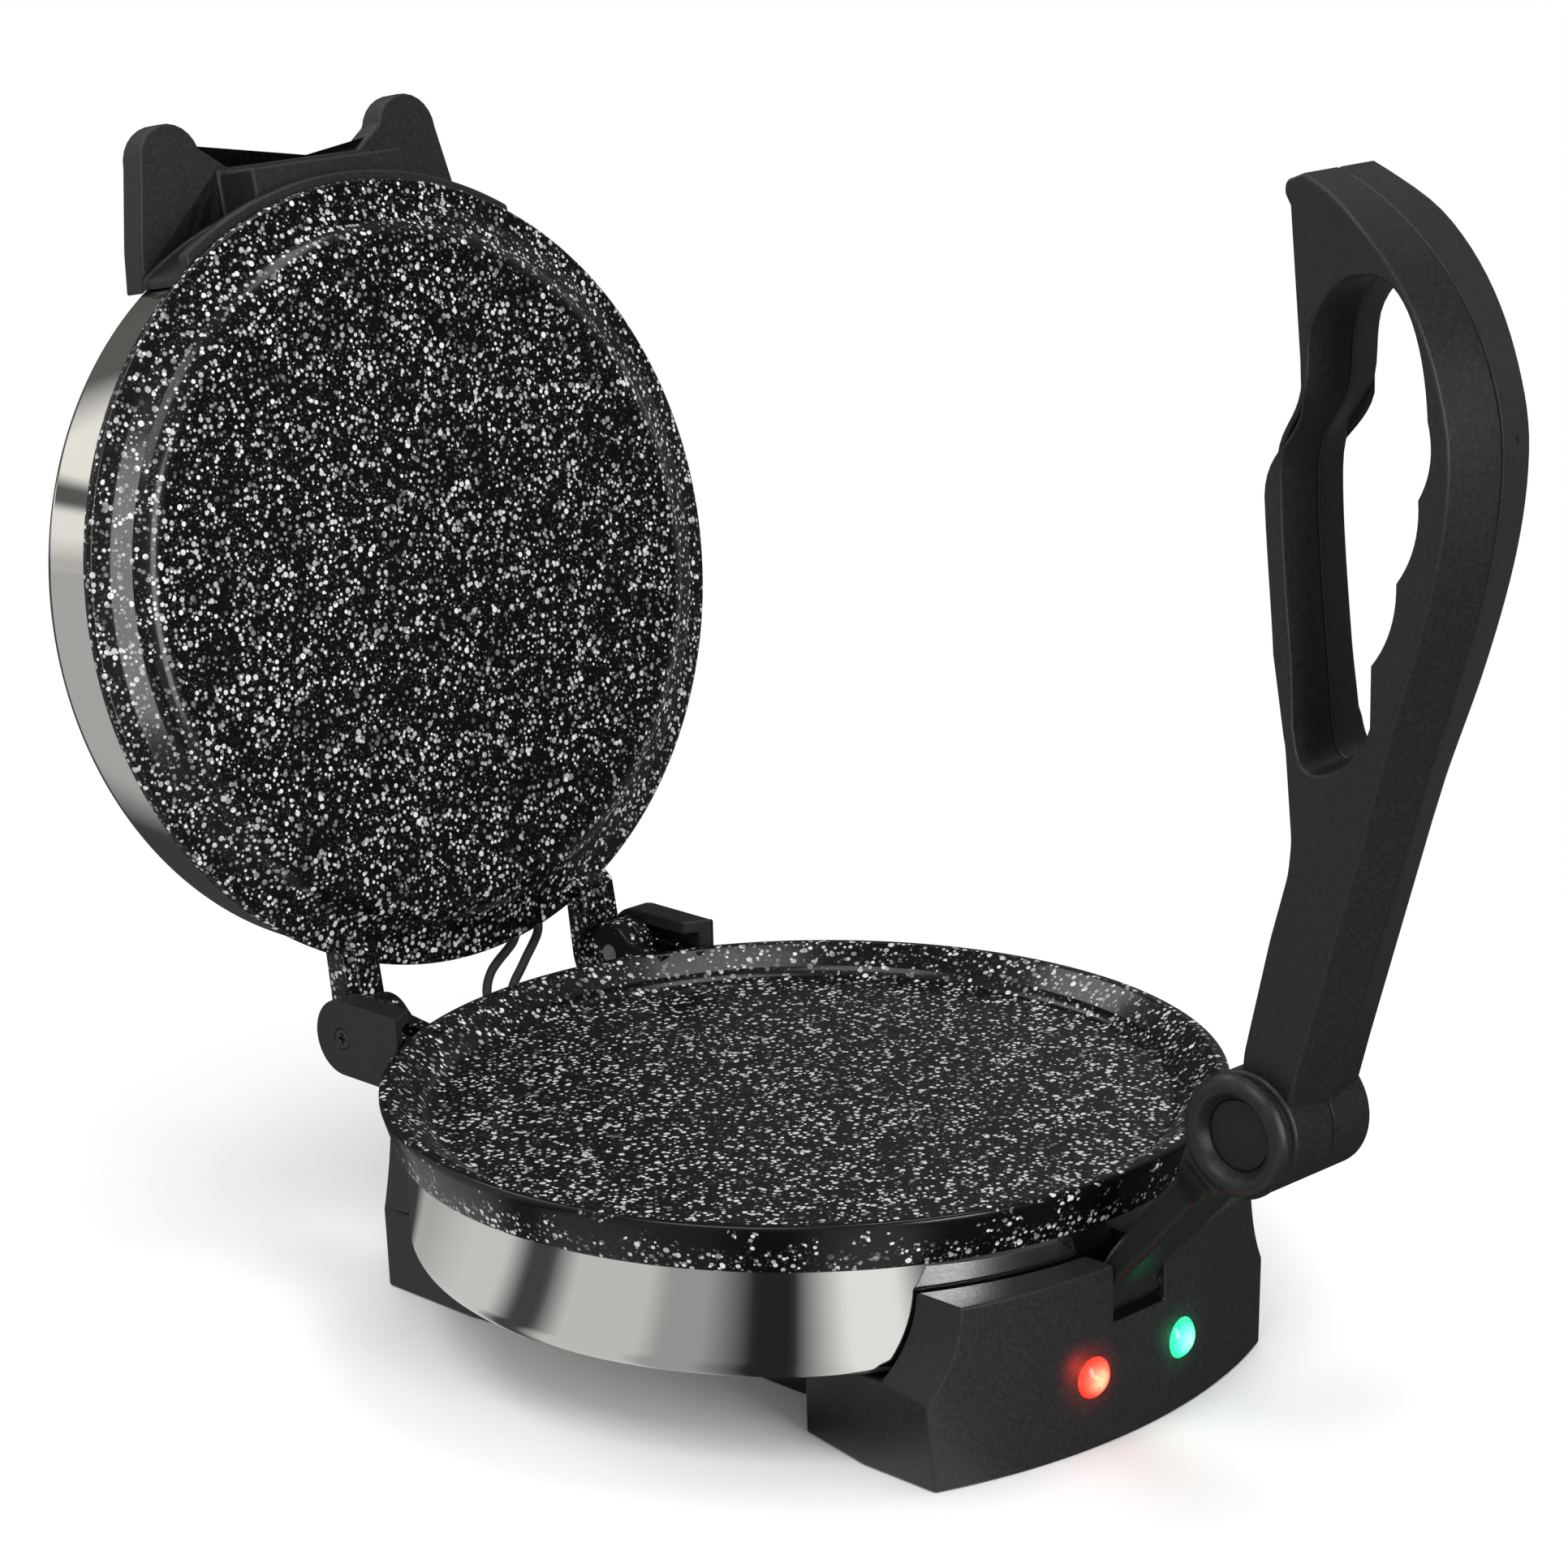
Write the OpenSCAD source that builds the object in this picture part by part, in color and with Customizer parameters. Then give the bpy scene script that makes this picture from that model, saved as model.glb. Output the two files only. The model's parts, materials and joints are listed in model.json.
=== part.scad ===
// Electric roti maker, standing open: a dished lower hot plate in a chrome bowl on a
// plastic stand, a lid with a convex upper hot plate, and a folding press handle.
// Origin on the axis of the lower plate at counter level. X to the right as seen from
// the front, Y back to the hinge, Z up. Millimetres.

/* [Base plate] */
// How far the crest of the lower plate stands out past the bowl
plate_over = 7; // [5:0.5:9]
// Height of the crest above the counter
crest_z = 73; // [72:0.5:75]
// Depth of the dish below the crest
dish_depth = 8; // [6:0.5:9]
// Metal under the dish
plate_t = 5; // [4:0.5:6]
// Height of the plate's outer wall, crest to skirt edge
plate_wall_h = 14.4; // [13.9:0.1:15.5]
// How far the outer wall draws in from crest to skirt edge
plate_draft = 3.9; // [1:0.1:4.5]
// Rounding of the crest
crest_rad = 2; // [1:0.25:2.5]
// Width of the sloping inner wall of the dish, with its fillet
dish_slope = 15; // [12:0.5:20]
// Fillet between the dish floor and its wall
dish_fillet = 6; // [3:0.5:7]

/* [Bowl and cover] */
// Outer radius of the chrome bowl and of the lid cover
bowl_r = 114; // [112:0.5:115]
// Sheet thickness of bowl and cover
sheet_t = 1.2; // [0.8:0.1:1.6]
// Height of the bowl's flat bottom above the counter
bowl_z = 26; // [24:0.5:28]
// Rounding between the bowl's wall and bottom
bowl_rad = 6; // [4:0.5:8]
// Rounding between the lid cover's wall and top
cover_rad = 4.5; // [3:0.5:6]
// Rise of the lid cover's top from its edge to the middle
cover_crown = 2; // [1:0.5:3]

/* [Stand] */
// Wall thickness of the stand
stand_wall = 2.5; // [2:0.25:3]
// Height of the stand's tops in front of and behind the bowl
stand_top = 50.5; // [49:0.5:53]
// Height of the edge where the side walls turn into the coves
arris_z = 25; // [22:0.5:27]
// Radius of the hollow coves on the sides
cove_r = 43; // [40:1:46]
// Height of the coves' centres above the tops
cove_lift = 1.5; // [0:0.25:3]
// How far the side walls lean out from the foot to the arris
side_flare = 2; // [1:0.25:3]
// Distance from the bowl's wall to the middle of the front face
front_out = 11.5; // [11:0.5:14]
// Radius of the front face in plan
front_arc = 176; // [160:1:200]
// Half width of the front block at the front
front_half = 69; // [66:0.5:72]
// Half width of the front block where it ends under the bowl
front_half_in = 62; // [58:0.5:66]
// Half width of the front block's top
front_top_half = 59.5; // [56:0.5:61]
// Distance from the middle of the front face back to the front block's corners
front_corner = 13.5; // [11:0.5:16]
// Distance from the bowl's wall to the middle of the rear face
rear_out = 14; // [13.5:0.5:17]
// Radius of the rear face in plan
rear_arc = 116; // [110:1:130]
// Half width of the rear block at the rear
rear_half = 73; // [70:0.5:75]
// Half width of the rear block where it ends under the bowl
rear_half_in = 70; // [66:0.5:72]
// Half width of the rear block's top
rear_top_half = 63.5; // [61:0.5:65]
// Distance from the middle of the rear face forward to the rear block's corners
rear_corner = 25; // [22:0.5:28]
// Distance from the bowl's wall to the inner end of both blocks
block_in = 54; // [50:1:60]
// How far the blocks' sides bulge between their corners and their inner end
block_bulge = 1.5; // [0:0.25:3]
// Half width of the bridge between the blocks
bridge_half = 45; // [38:1:52]
// Half width of the slot for the link
slot_half = 10.4; // [10.2:0.1:12]
// Height of the slot's floor
slot_floor = 32.2; // [30:0.1:32.8]
// Height of the lip at the front of the slot
slot_lip = 2; // [1:0.1:2.2]
// Thickness of the bottom cover
cover_t = 2.5; // [2:0.25:3]
// Depth of the bottom cover's face above the stand's rim, and thickness of the feet
foot_h = 2; // [1.5:0.25:3]
// Radius of the rubber feet
foot_r = 7; // [5:0.5:8]

/* [Lamps] */
// Distance of each lamp from the middle plane
lamp_x = 18.1; // [17:0.1:28]
// Height of the lamps
lamp_z = 20.6; // [18:0.1:22]
// Radius of the lens dome
lens_r = 5.8; // [5:0.1:7]
// How far the lens stands out of the front face
lens_out = 3; // [2:0.1:4]

/* [Lid] */
// Angle of the open lid from closed
open_angle = 100.45; // [95:0.05:105]
// How far the lid plate's rim stands out past the lid cover
lid_over = 5; // [4:0.5:7]
// Height of the lid plate's face above the dish floor, closed
lid_lift = 5; // [3:0.5:6]
// Height of the lid plate's rim above the crest, closed
rim_lift = 5.6; // [5:0.1:8]
// Thickness of the lid plate's rim
rim_t = 3.4; // [3:0.1:4.5]
// Metal in the middle of the lid plate
lid_t = 5.6; // [5:0.1:7]
// Distance from the rim in to where the flat face meets the shoulder
shoulder_in = 21; // [18:1:26]
// Rise of the lid plate's face from the middle to the shoulder, closed
face_dome = 1.1; // [0:0.1:2]
// Rounding of the shoulder
shoulder_rad = 10; // [6:0.5:12]
// Height of the lid cover's wall
lid_band_h = 29; // [27:0.5:32]

/* [Hinge] */
// Distance from the lower plate's crest to the hinge axis
hinge_out = 8.2; // [7.5:0.1:10]
// Height of the hinge axis
hinge_z = 69; // [68.5:0.1:70]
// Radius of the hinge pins
hinge_pin_r = 3; // [2.5:0.1:3.5]
// Radius of the hinge knuckles
knuckle_r = 9.75; // [8.5:0.05:10]
// Inner face of the base's inner lug, from the middle plane
lug_x = 44; // [43:0.5:46]
// Width of the base's inner lug
lug_w = 5.5; // [4:0.25:6]
// Inner face of the lid arm, from the middle plane
arm_x = 41; // [38:0.5:42]
// Width of the lid's knuckle
lid_knuckle_w = 5.2; // [4:0.1:6]
// Width of the base's outer lug
outer_lug_w = 4.5; // [3.5:0.25:5]
// Radius of the base's outer lug
outer_lug_r = 7.5; // [6.5:0.1:8]
// Radius of the hinge caps
cap_r = 11.6; // [10.5:0.1:12]
// Thickness of the hinge caps' end walls
cap_wall = 4; // [3.5:0.1:5]
// Distance that the hinge caps reach forward of the hinge axis
cap_reach = 26; // [22:0.5:30]

/* [Catch bracket] */
// Distance of the ears' tips from the lid plate's rim
ear_out = 24.5; // [21:0.5:27]
// Distance of the ears from the middle plane
ear_x = 45.7; // [44:0.1:48]
// Rounding of the ears' tips
ear_r = 11.5; // [9:0.5:12]
// Distance of the wall between the ears from the lid plate's rim
catch_wall_out = 9.3; // [7:0.1:11]
// Half width of the gap between the ears at the wall
catch_gap_half = 25; // [23:0.5:27]
// Half width of the bracket at the lid cover
catch_half = 64; // [60:0.5:66]
// Depth of the ears
catch_h = 9; // [8:0.25:10]
// Height of the ears' face above the lid plate's rim
catch_lift = 22; // [20:0.5:23]
// Height of the saddle's face above the lid plate's rim
saddle_lift = 6; // [5.5:0.25:8]
// Half width of the saddle that stands before the wall between the ears
saddle_half = 29; // [27:0.5:31]
// Wall thickness of the bracket
catch_wall = 2.5; // [2:0.25:3]
// How far the flange stands out past the lid plate's rim
flange_over = 3; // [1:0.5:4]
// Thickness of the flange
flange_t = 4.3; // [3:0.1:5]

/* [Link] */
// Height of the link's lower pivot
link_z = 38; // [37.8:0.1:38.6]
// Distance from the front face back to the link's lower pivot
link_in = 5; // [4.5:0.1:5.2]
// Distance between the link's pivots
link_len = 82; // [78:0.5:90]
// Lean of the link from upright, open
link_angle = 39.8; // [34:0.1:45]
// Half width of the link's bar
link_half = 10; // [8:0.1:10]
// Thickness of the link's bar
link_t = 11; // [9:0.5:12]
// Radius of the link's lower barrel
link_barrel_r = 4.8; // [4.2:0.1:5]
// Radius of the link's lower pin
link_pin_r = 2.5; // [2:0.1:2.8]
// Radius of the round boss on the left cheek
ring_r = 16.4; // [14:0.1:17]
// Radius of the round boss on the right cheek
boss_r = 11; // [9:0.1:12]
// Thickness of the left cheek
ring_t = 6; // [5:0.25:7]
// Thickness of the right cheek
boss_t = 4; // [3.5:0.25:5]
// Radius of the disc in the left boss
disc_r = 9.7; // [8:0.1:11]
// Depth of the recess for that disc
disc_depth = 2.5; // [2:0.1:3]

/* [Handle] */
// Radius of the handle's barrel
barrel_r = 16.3; // [15:0.1:17]
// Half width of the handle's barrel
barrel_half = 15.5; // [14.5:0.1:15.7]
// Radius of the handle's pin
handle_pin_r = 4; // [3.5:0.1:4.5]
// Half width of the grip
grip_half = 16.5; // [15:0.1:16.5]
// Half width of the grip's inner member
member_half = 13; // [11:0.1:14]
// How far the inner member's middle stands out of its edges towards the lid
member_back = 3; // [0:0.1:4]
// How far the inner member's ridge stands out of its edges towards the fingers
member_ridge = 2.2; // [0:0.1:3]
// How far the ridge of the spine stands proud of its edges
spine_crown = 4.2; // [2:0.1:5]
// Height above the pivot from which the grip has its full width
grip_full_z = 108; // [104:1:112]
// Wall thickness of the handle's half shells
handle_wall = 2.5; // [2:0.25:3]
// Height of the handle's top above its pivot
handle_top = 243.5; // [235:0.5:250]
// Reach of the handle's spine in front of its pivot
spine_reach = 63.1; // [60:0.1:66]
// Depth of the finger grooves
groove_depth = 2.1; // [1:0.1:3]

/* [Heaters] */
// Distance from the bowl's wall to the ring that the heater follows
heater_in = 39; // [34:1:44]
// Radius of the heater's tube
heater_tube_r = 4; // [3.5:0.1:4.2]
// How far the clamp plate reaches past the heater's ring
clamp_over = 15; // [11:1:19]
// Thickness of the clamp plate
clamp_t = 2; // [1.5:0.25:2.5]
// Radius of the centre bolts
bolt_r = 3; // [2.5:0.25:4]

/* [Fits] */
// Running clearance of pins in their bores
run_fit = 0.06; // [0.03:0.01:0.09]
// Side clearance between moving faces
side_gap = 0.3; // [0.25:0.05:0.45]
// Clearance between pieces that are put together
fit_gap = 0.3; // [0.2:0.05:0.4]
// Clearance between the stand and the bowl's wall
bowl_gap = 1.5; // [1:0.1:2]
// Radius of the small screws' shanks
screw_r = 1.5; // [1.25:0.05:1.75]
// Radius of the small screws' heads
screw_head_r = 3; // [2.6:0.1:3.2]
// Radius of each lead
lead_r = 1.5; // [1.2:0.1:1.6]

/* [Hidden] */
$fn = 96;
eps = 1;
far = 400;

plate_r = bowl_r + plate_over;
lid_r = bowl_r + lid_over;
flange_r = lid_r + flange_over;
heater_r = bowl_r - heater_in;
clamp_r = heater_r + clamp_over;
front_y = bowl_r + front_out;
rear_y = bowl_r + rear_out;
block_in_y = bowl_r - block_in;
hinge_y = plate_r + hinge_out;
link_y = front_y - link_in;

dish_z = crest_z - dish_depth;
under_z = dish_z - plate_t;
skirt_z = crest_z - plate_wall_h;
dish_r = plate_r - crest_rad - dish_slope;

// Closed heights of the lid's parts
lid_face_z = dish_z + lid_lift;
rim_z = crest_z + rim_lift;
rim_top_z = rim_z + rim_t;
lid_seat_z = rim_top_z - 2;
lid_recess_z = lid_face_z + lid_t;
lid_recess_r = bowl_r - 10;
shoulder_r = lid_r - shoulder_in;
cover_edge_z = lid_seat_z + lid_band_h;
cover_top_z = cover_edge_z + cover_crown;

// Hinge stations from the middle plane outwards
lid_knuckle_x = lug_x + lug_w + side_gap;
outer_lug_x = lid_knuckle_x + lid_knuckle_w + side_gap;
arm_out_x = lid_knuckle_x + lid_knuckle_w;
pin_end_x = outer_lug_x + outer_lug_w;
cap_in_x = arm_out_x + side_gap + 0.1;
cap_out_x = pin_end_x + fit_gap + cap_wall;
arm_clear_r = knuckle_r + 0.45;
cap_screw_len = 8;
cap_head_h = 1.6;

// Link and handle pivots
pivot_y = -link_y - link_len * sin(link_angle);
pivot_z = link_z + link_len * cos(link_angle);
cheek_x = barrel_half + side_gap + 0.2;
barrel_clear = barrel_r + 1.1;

// Stand
cover_top = foot_h + cover_t;
deck_under = bowl_z - stand_wall;
cheek_half = slot_half + 6;
cheek_floor_t = 3;
foot_x = 50;
foot_y = front_y - 29.5;
post_r = 4.5;
post_x = 48;
post_y = block_in_y + 16;
post_bore_h = 10;
head_h = 1.4;
gland_z = 15;
gland_r = 6;
gland_bore_r = 3.2;
gland_flange_r = 9;
gland_flange_t = 2;
gland_len = 12;
lens_stem_r = lens_r - 1;
lens_stem_len = 4.5;
board_y = front_y - 7.5;
board_t = 1.6;
lamp_h = 1.2;
board_half = lamp_x + 8;
lamp_r = 2.5;

// Insides
heater_end = 18;
heater_turn = 340;
heater_start = 100;
end_window_r = 30;
part_window_r = 15;
part_y = heater_r * 0.56;
boss_wall = 5;
spacer_wall = 4;
thermostat_r = 9;
thermostat_h = 14;
thermostat_tab_r = 12;
thermostat_tab_h = 2;
fuse_r = 3;
fuse_half = 8;
fuse_wire = 11;
block_size = [36, 14, 12];
block_y = rear_y - 36;
block_pitch = 12;
clamp_screw_r = 2.2;
wire_r = 1.6;

// Lid, catch and handle
catch_z = rim_top_z + catch_lift;
catch_side_y = lid_r - 27;
hug_r = bowl_r + fit_gap;
saddle_drop = 1.5;
catch_screw_turn = 20;
catch_screw_lift = 9.5;
catch_screw_len = 8;
arm_t = 4;
ridge_half = 5.5;
ridge_share = 0.2;
member_share = 0.55;
waist_share = 0.85;
screw_depth = 8;
handle_screws_at = [[-20, 60], [-58, 182], [-12, 222]];
screw_seats = [grip_half - 2 - 3, grip_half - 3, member_half - 3];

// Lead bushes: places of the two leads in the stand's top and in the lid cover's wall
lead_base_x = [-1, 6.5];
lead_base_y = rear_y - 6.2;
lead_lid_x = [22, 31];
bush_r = 3.2;
bush_lid_z = rim_top_z + bush_r + 0.1;
bush_lid_y = [bowl_r - 10, bowl_r + 1];

// Points on an arc in the plane of an outline
function arc(c, r, a0, a1, n) =
    [for (i = [0:n]) let (a = a0 + (a1 - a0) * i / n) c + r * [cos(a), sin(a)]];

// Points on a cubic curve between two ends, without its first point
function curve(a, b, c, d, n) =
    [for (i = [1:n]) let (t = i / n, u = 1 - t)
        u * u * u * a + 3 * u * u * t * b + 3 * u * t * t * c + t * t * t * d];

function unit(v) = v / norm(v);

// An outline moved inwards by d, for points that run counter-clockwise
function inset(p, d) =
    let (n = len(p))
    [for (i = [0:n - 1])
        let (a = unit(p[i] - p[(i + n - 1) % n]), b = unit(p[(i + 1) % n] - p[i]),
             m = unit([-a[1] - b[1], a[0] + b[0]]), k = max(0.5, m * [-a[1], a[0]]))
        p[i] + d / k * m];

function reversed(p) = [for (i = [len(p) - 1:-1:0]) p[i]];

// A solid whose outline is drawn in Y and Z, between two X stations
module side_cut(x0, x1, points) {
    translate([x0, 0, 0]) rotate([90, 0, 90])
        linear_extrude(height = x1 - x0) polygon(points);
}

module x_rod(x0, x1, r, y = 0, z = 0) {
    translate([x0, y, z]) rotate([0, 90, 0]) cylinder(r = r, h = x1 - x0);
}

module both_sides() {
    children();
    mirror([1, 0, 0]) children();
}

module tube(r_out, r_in, z0, z1) {
    translate([0, 0, z0]) difference() {
        cylinder(r = r_out, h = z1 - z0);
        translate([0, 0, -eps]) cylinder(r = r_in, h = z1 - z0 + 2 * eps);
    }
}

// Cross-recessed screw whose head stands on z = 0 and whose shank runs down
module screw(shank_r, length, head_r, head_height) {
    slot_w = shank_r * 0.5;
    difference() {
        union() {
            cylinder(r = head_r, h = head_height);
            translate([0, 0, -length]) cylinder(r = shank_r, h = length + eps / 2);
        }
        for (a = [0, 90]) rotate([0, 0, a]) translate([-head_r * 0.6, -slot_w / 2, head_height / 2])
            cube([head_r * 1.2, slot_w, head_height]);
    }
}

// Lifts what is drawn for the closed lid to the open rest pose
module opened() {
    translate([0, hinge_y, hinge_z]) rotate([-open_angle, 0, 0])
        translate([0, -hinge_y, -hinge_z]) children();
}

// One end block of the stand, drawn for the front, moved inwards by t
module block_form(face_y, face_arc, half_out, half_in, top_half, corner_y, t = 0) {
    mid_half = (half_out + half_in) / 2 + block_bulge;
    mid_y = (corner_y + block_in_y) / 2;
    low = t > 0 ? -eps : 0;
    difference() {
        intersection() {
            translate([0, face_arc - face_y, low])
                cylinder(r = face_arc - t, h = stand_top - t - low, $fn = 192);
            translate([0, 0, low]) linear_extrude(height = stand_top - t - low) polygon([
                [-half_out + t, -face_y - eps], [half_out - t, -face_y - eps],
                [half_out - t, -corner_y], [mid_half - t, -mid_y], [half_in - t, -block_in_y - t],
                [-half_in + t, -block_in_y - t], [-mid_half + t, -mid_y], [-half_out + t, -corner_y]]);
            rotate([90, 0, 0]) linear_extrude(height = far) polygon([
                [-half_out + side_flare + t, low], [half_out - side_flare - t, low],
                [half_out - t, arris_z], [half_out - t, stand_top],
                [-half_out + t, stand_top], [-half_out + t, arris_z]]);
        }
        both_sides() translate([top_half + cove_r, 0, stand_top + cove_lift]) rotate([90, 0, 0])
            cylinder(r = cove_r + t, h = far, $fn = 128);
        translate([0, 0, bowl_z - t]) cylinder(r = bowl_r + bowl_gap + t, h = far, $fn = 192);
    }
}

module front_form(t = 0) {
    block_form(front_y, front_arc, front_half, front_half_in, front_top_half,
        front_y - front_corner, t);
}

module rear_form(t = 0) {
    mirror([0, 1, 0])
        block_form(rear_y, rear_arc, rear_half, rear_half_in, rear_top_half,
            rear_y - rear_corner, t);
}

// The stand's outer form for t = 0, and the room inside its walls for t = stand_wall
module stand_form(t = 0) {
    low = t > 0 ? -eps : 0;
    reach = block_in_y + (t > 0 ? t + eps : eps);
    front_form(t);
    rear_form(t);
    translate([-bridge_half + t, -reach, low])
        cube([2 * (bridge_half - t), 2 * reach, bowl_z - t - low]);
}

module on_front_face(x) {
    turn = asin(x / front_arc);
    translate([0, front_arc - front_y, 0]) rotate([0, 0, turn]) translate([0, -front_arc, 0])
        rotate([90, 0, 0]) children();
}

module at_posts() {
    for (sx = [-1, 1], sy = [-1, 1]) translate([sx * post_x, sy * post_y, 0]) children();
}

module at_feet() {
    for (sx = [-1, 1], sy = [-1, 1]) translate([sx * foot_x, sy * foot_y, 0]) children();
}

module stand() {
    color([0.05, 0.05, 0.055]) difference() {
        union() {
            difference() {
                stand_form();
                stand_form(stand_wall);
            }
            // Cheeks and floor of the slot
            intersection() {
                front_form();
                translate([-cheek_half, -far, slot_floor - cheek_floor_t])
                    cube([2 * cheek_half, far, far]);
            }
            at_posts() translate([0, 0, cover_top])
                cylinder(r = post_r, h = deck_under - cover_top + eps / 2);
        }
        // Slot for the link, open at the top and in front
        translate([-slot_half, -front_y + 1.2, slot_floor]) cube([2 * slot_half, far, far]);
        translate([-slot_half, -far, slot_floor + slot_lip]) cube([2 * slot_half, far, far]);
        x_rod(-cheek_half - eps, cheek_half + eps, link_pin_r, -link_y, link_z);
        at_posts() translate([0, 0, cover_top - eps]) cylinder(r = screw_r, h = post_bore_h + eps);
        cylinder(r = bolt_r, h = far);
        for (sx = [-1, 1]) on_front_face(sx * lamp_x) translate([0, lamp_z, -stand_wall - eps])
            cylinder(r = lens_stem_r, h = 2 * stand_wall);
        translate([0, rear_y - 2 * stand_wall, gland_z]) rotate([-90, 0, 0])
            cylinder(r = gland_r, h = 3 * stand_wall);
        for (x = lead_base_x) translate([x, lead_base_y, stand_top - 2 * stand_wall])
            cylinder(r = bush_r, h = 3 * stand_wall);
    }
}

module bottom_cover() {
    color([0.08, 0.08, 0.085]) difference() {
        intersection() {
            stand_form(stand_wall + fit_gap);
            translate([-far, -far, foot_h]) cube([2 * far, 2 * far, cover_t]);
        }
        at_posts() cylinder(r = screw_r, h = far);
        at_feet() cylinder(r = foot_r / 2, h = far);
    }
}

module feet() {
    color([0.1, 0.1, 0.1]) at_feet() {
        cylinder(r = foot_r, h = foot_h);
        translate([0, 0, foot_h / 2]) cylinder(r = foot_r / 2, h = foot_h / 2 + cover_t);
    }
}

module cover_screws() {
    color([0.6, 0.6, 0.62]) at_posts() translate([0, 0, foot_h]) rotate([180, 0, 0])
        screw(screw_r, cover_t + post_bore_h - eps, screw_head_r, head_h);
}

// Section of a pressed shell: wall up from a rounded bottom, drawn in R and Z
function shell_line(r, z0, z1, rad, crown) = concat(
    [[0, z0 - crown]],
    arc([r - rad, z0 + rad], rad, -90, 0, 8),
    [[r, z1]]);

module pressed_shell(z0, z1, rad, crown) {
    outer = shell_line(bowl_r, z0, z1, rad, crown);
    inner = shell_line(bowl_r - sheet_t, z0 + sheet_t, z1, rad - sheet_t, crown);
    rotate_extrude($fn = 192) polygon(concat(outer, reversed(inner)));
}

module base_bowl() {
    color([0.8, 0.81, 0.83]) difference() {
        pressed_shell(bowl_z, under_z, bowl_rad, 0);
        cylinder(r = bolt_r, h = far);
    }
}

// Lug of the base plate between two stations, reaching from the wall to the hinge axis
module base_lug(x0, x1, r) {
    root_y = sqrt(plate_r * plate_r - x1 * x1) - 7;
    neck_y = hinge_y - r * 0.8;
    x_rod(x0, x1, r, hinge_y, hinge_z);
    side_cut(x0, x1, [[root_y, under_z + 1], [hinge_y, hinge_z - r], [hinge_y, hinge_z],
        [neck_y, crest_z + 0.6], [root_y, crest_z - 0.4]]);
}

module base_plate() {
    skirt_r = plate_r - plate_draft;
    color([0.07, 0.07, 0.08]) difference() {
        union() {
            rotate_extrude($fn = 192) polygon(concat(
                [[0, under_z], [bowl_r + fit_gap, under_z], [bowl_r + fit_gap, skirt_z], [skirt_r, skirt_z]],
                arc([plate_r - crest_rad, crest_z - crest_rad], crest_rad, 0, 90, 6),
                [[0, crest_z]]));
            translate([0, 0, under_z - 2 * heater_tube_r])
                cylinder(r = bolt_r + boss_wall, h = 2 * heater_tube_r + eps);
            both_sides() {
                base_lug(lug_x, lug_x + lug_w, knuckle_r);
                base_lug(outer_lug_x, pin_end_x, outer_lug_r);
            }
        }
        // The dish
        rotate_extrude($fn = 192) polygon(concat(
            [[0, dish_z]],
            arc([dish_r, dish_z + dish_fillet], dish_fillet, -90, -30, 6),
            [[plate_r - crest_rad - 1.5, crest_z], [plate_r - crest_rad - 1.5, crest_z + eps],
             [0, crest_z + eps]]));
        translate([0, 0, under_z - 2 * heater_tube_r - eps])
            cylinder(r = bolt_r, h = 2 * heater_tube_r + plate_t / 2 + eps);
        both_sides() x_rod(lug_x - eps, pin_end_x + eps, hinge_pin_r, hinge_y, hinge_z);
    }
}

// Heater ring with its two cold ends turned away from the plate
module heater(z, down) {
    color([0.35, 0.36, 0.36]) translate([0, 0, z]) {
        rotate([0, 0, heater_start]) rotate_extrude(angle = heater_turn, $fn = 128)
            translate([heater_r, 0]) circle(r = heater_tube_r, $fn = 24);
        for (a = [heater_start, heater_start + heater_turn]) rotate([0, 0, a]) translate([heater_r, 0, 0])
            rotate([down ? 180 : 0, 0, 0]) cylinder(r = heater_tube_r - 0.5, h = heater_end, $fn = 24);
    }
}
module base_heater() {
    heater(under_z - heater_tube_r, true);
}

// Pressed plate that holds a heater ring, with windows for what sits on the plate
module clamp_plate(z) {
    color([0.62, 0.63, 0.64]) translate([0, 0, z]) difference() {
        cylinder(r = clamp_r, h = clamp_t);
        translate([0, 0, -eps]) {
            cylinder(r = bolt_r, h = clamp_t + 2 * eps);
            for (y = [-1, 1]) translate([0, y * part_y, 0])
                cylinder(r = part_window_r, h = clamp_t + 2 * eps);
            translate([0, heater_r + 4, 0]) cylinder(r = end_window_r, h = clamp_t + 2 * eps);
        }
    }
}

module base_clamp() {
    clamp_plate(under_z - 2 * heater_tube_r - clamp_t);
}

module base_spacer() {
    color([0.7, 0.7, 0.7])
        tube(bolt_r + spacer_wall, bolt_r, bowl_z + sheet_t, under_z - 2 * heater_tube_r - clamp_t);
}

module base_bolt() {
    color([0.6, 0.6, 0.62]) translate([0, 0, deck_under]) rotate([180, 0, 0])
        screw(bolt_r, under_z + plate_t / 2 - deck_under, 2 * bolt_r, bolt_r);
}

module thermostat() {
    color([0.85, 0.83, 0.78]) translate([0, -part_y, under_z - thermostat_h]) {
        cylinder(r = thermostat_r, h = thermostat_h);
        translate([0, 0, thermostat_h - 2 * thermostat_tab_h])
            cylinder(r = thermostat_tab_r, h = thermostat_tab_h);
    }
}

module thermal_fuse() {
    color([0.8, 0.75, 0.6]) {
        x_rod(-fuse_half, fuse_half, fuse_r, part_y, under_z - fuse_r);
        x_rod(-fuse_wire, fuse_wire, fuse_r / 4, part_y, under_z - fuse_r);
    }
}

module terminal_block() {
    color([0.85, 0.85, 0.82]) difference() {
        translate([-block_size[0] / 2, block_y, cover_top]) cube(block_size);
        for (i = [-1, 0, 1])
            translate([i * block_pitch, block_y + block_size[1] / 2, cover_top + block_size[2] / 2]) {
                cylinder(r = clamp_screw_r, h = block_size[2]);
                rotate([90, 0, 0]) translate([0, 0, -block_size[1]])
                    cylinder(r = wire_r, h = 2 * block_size[1]);
            }
    }
}

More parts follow.
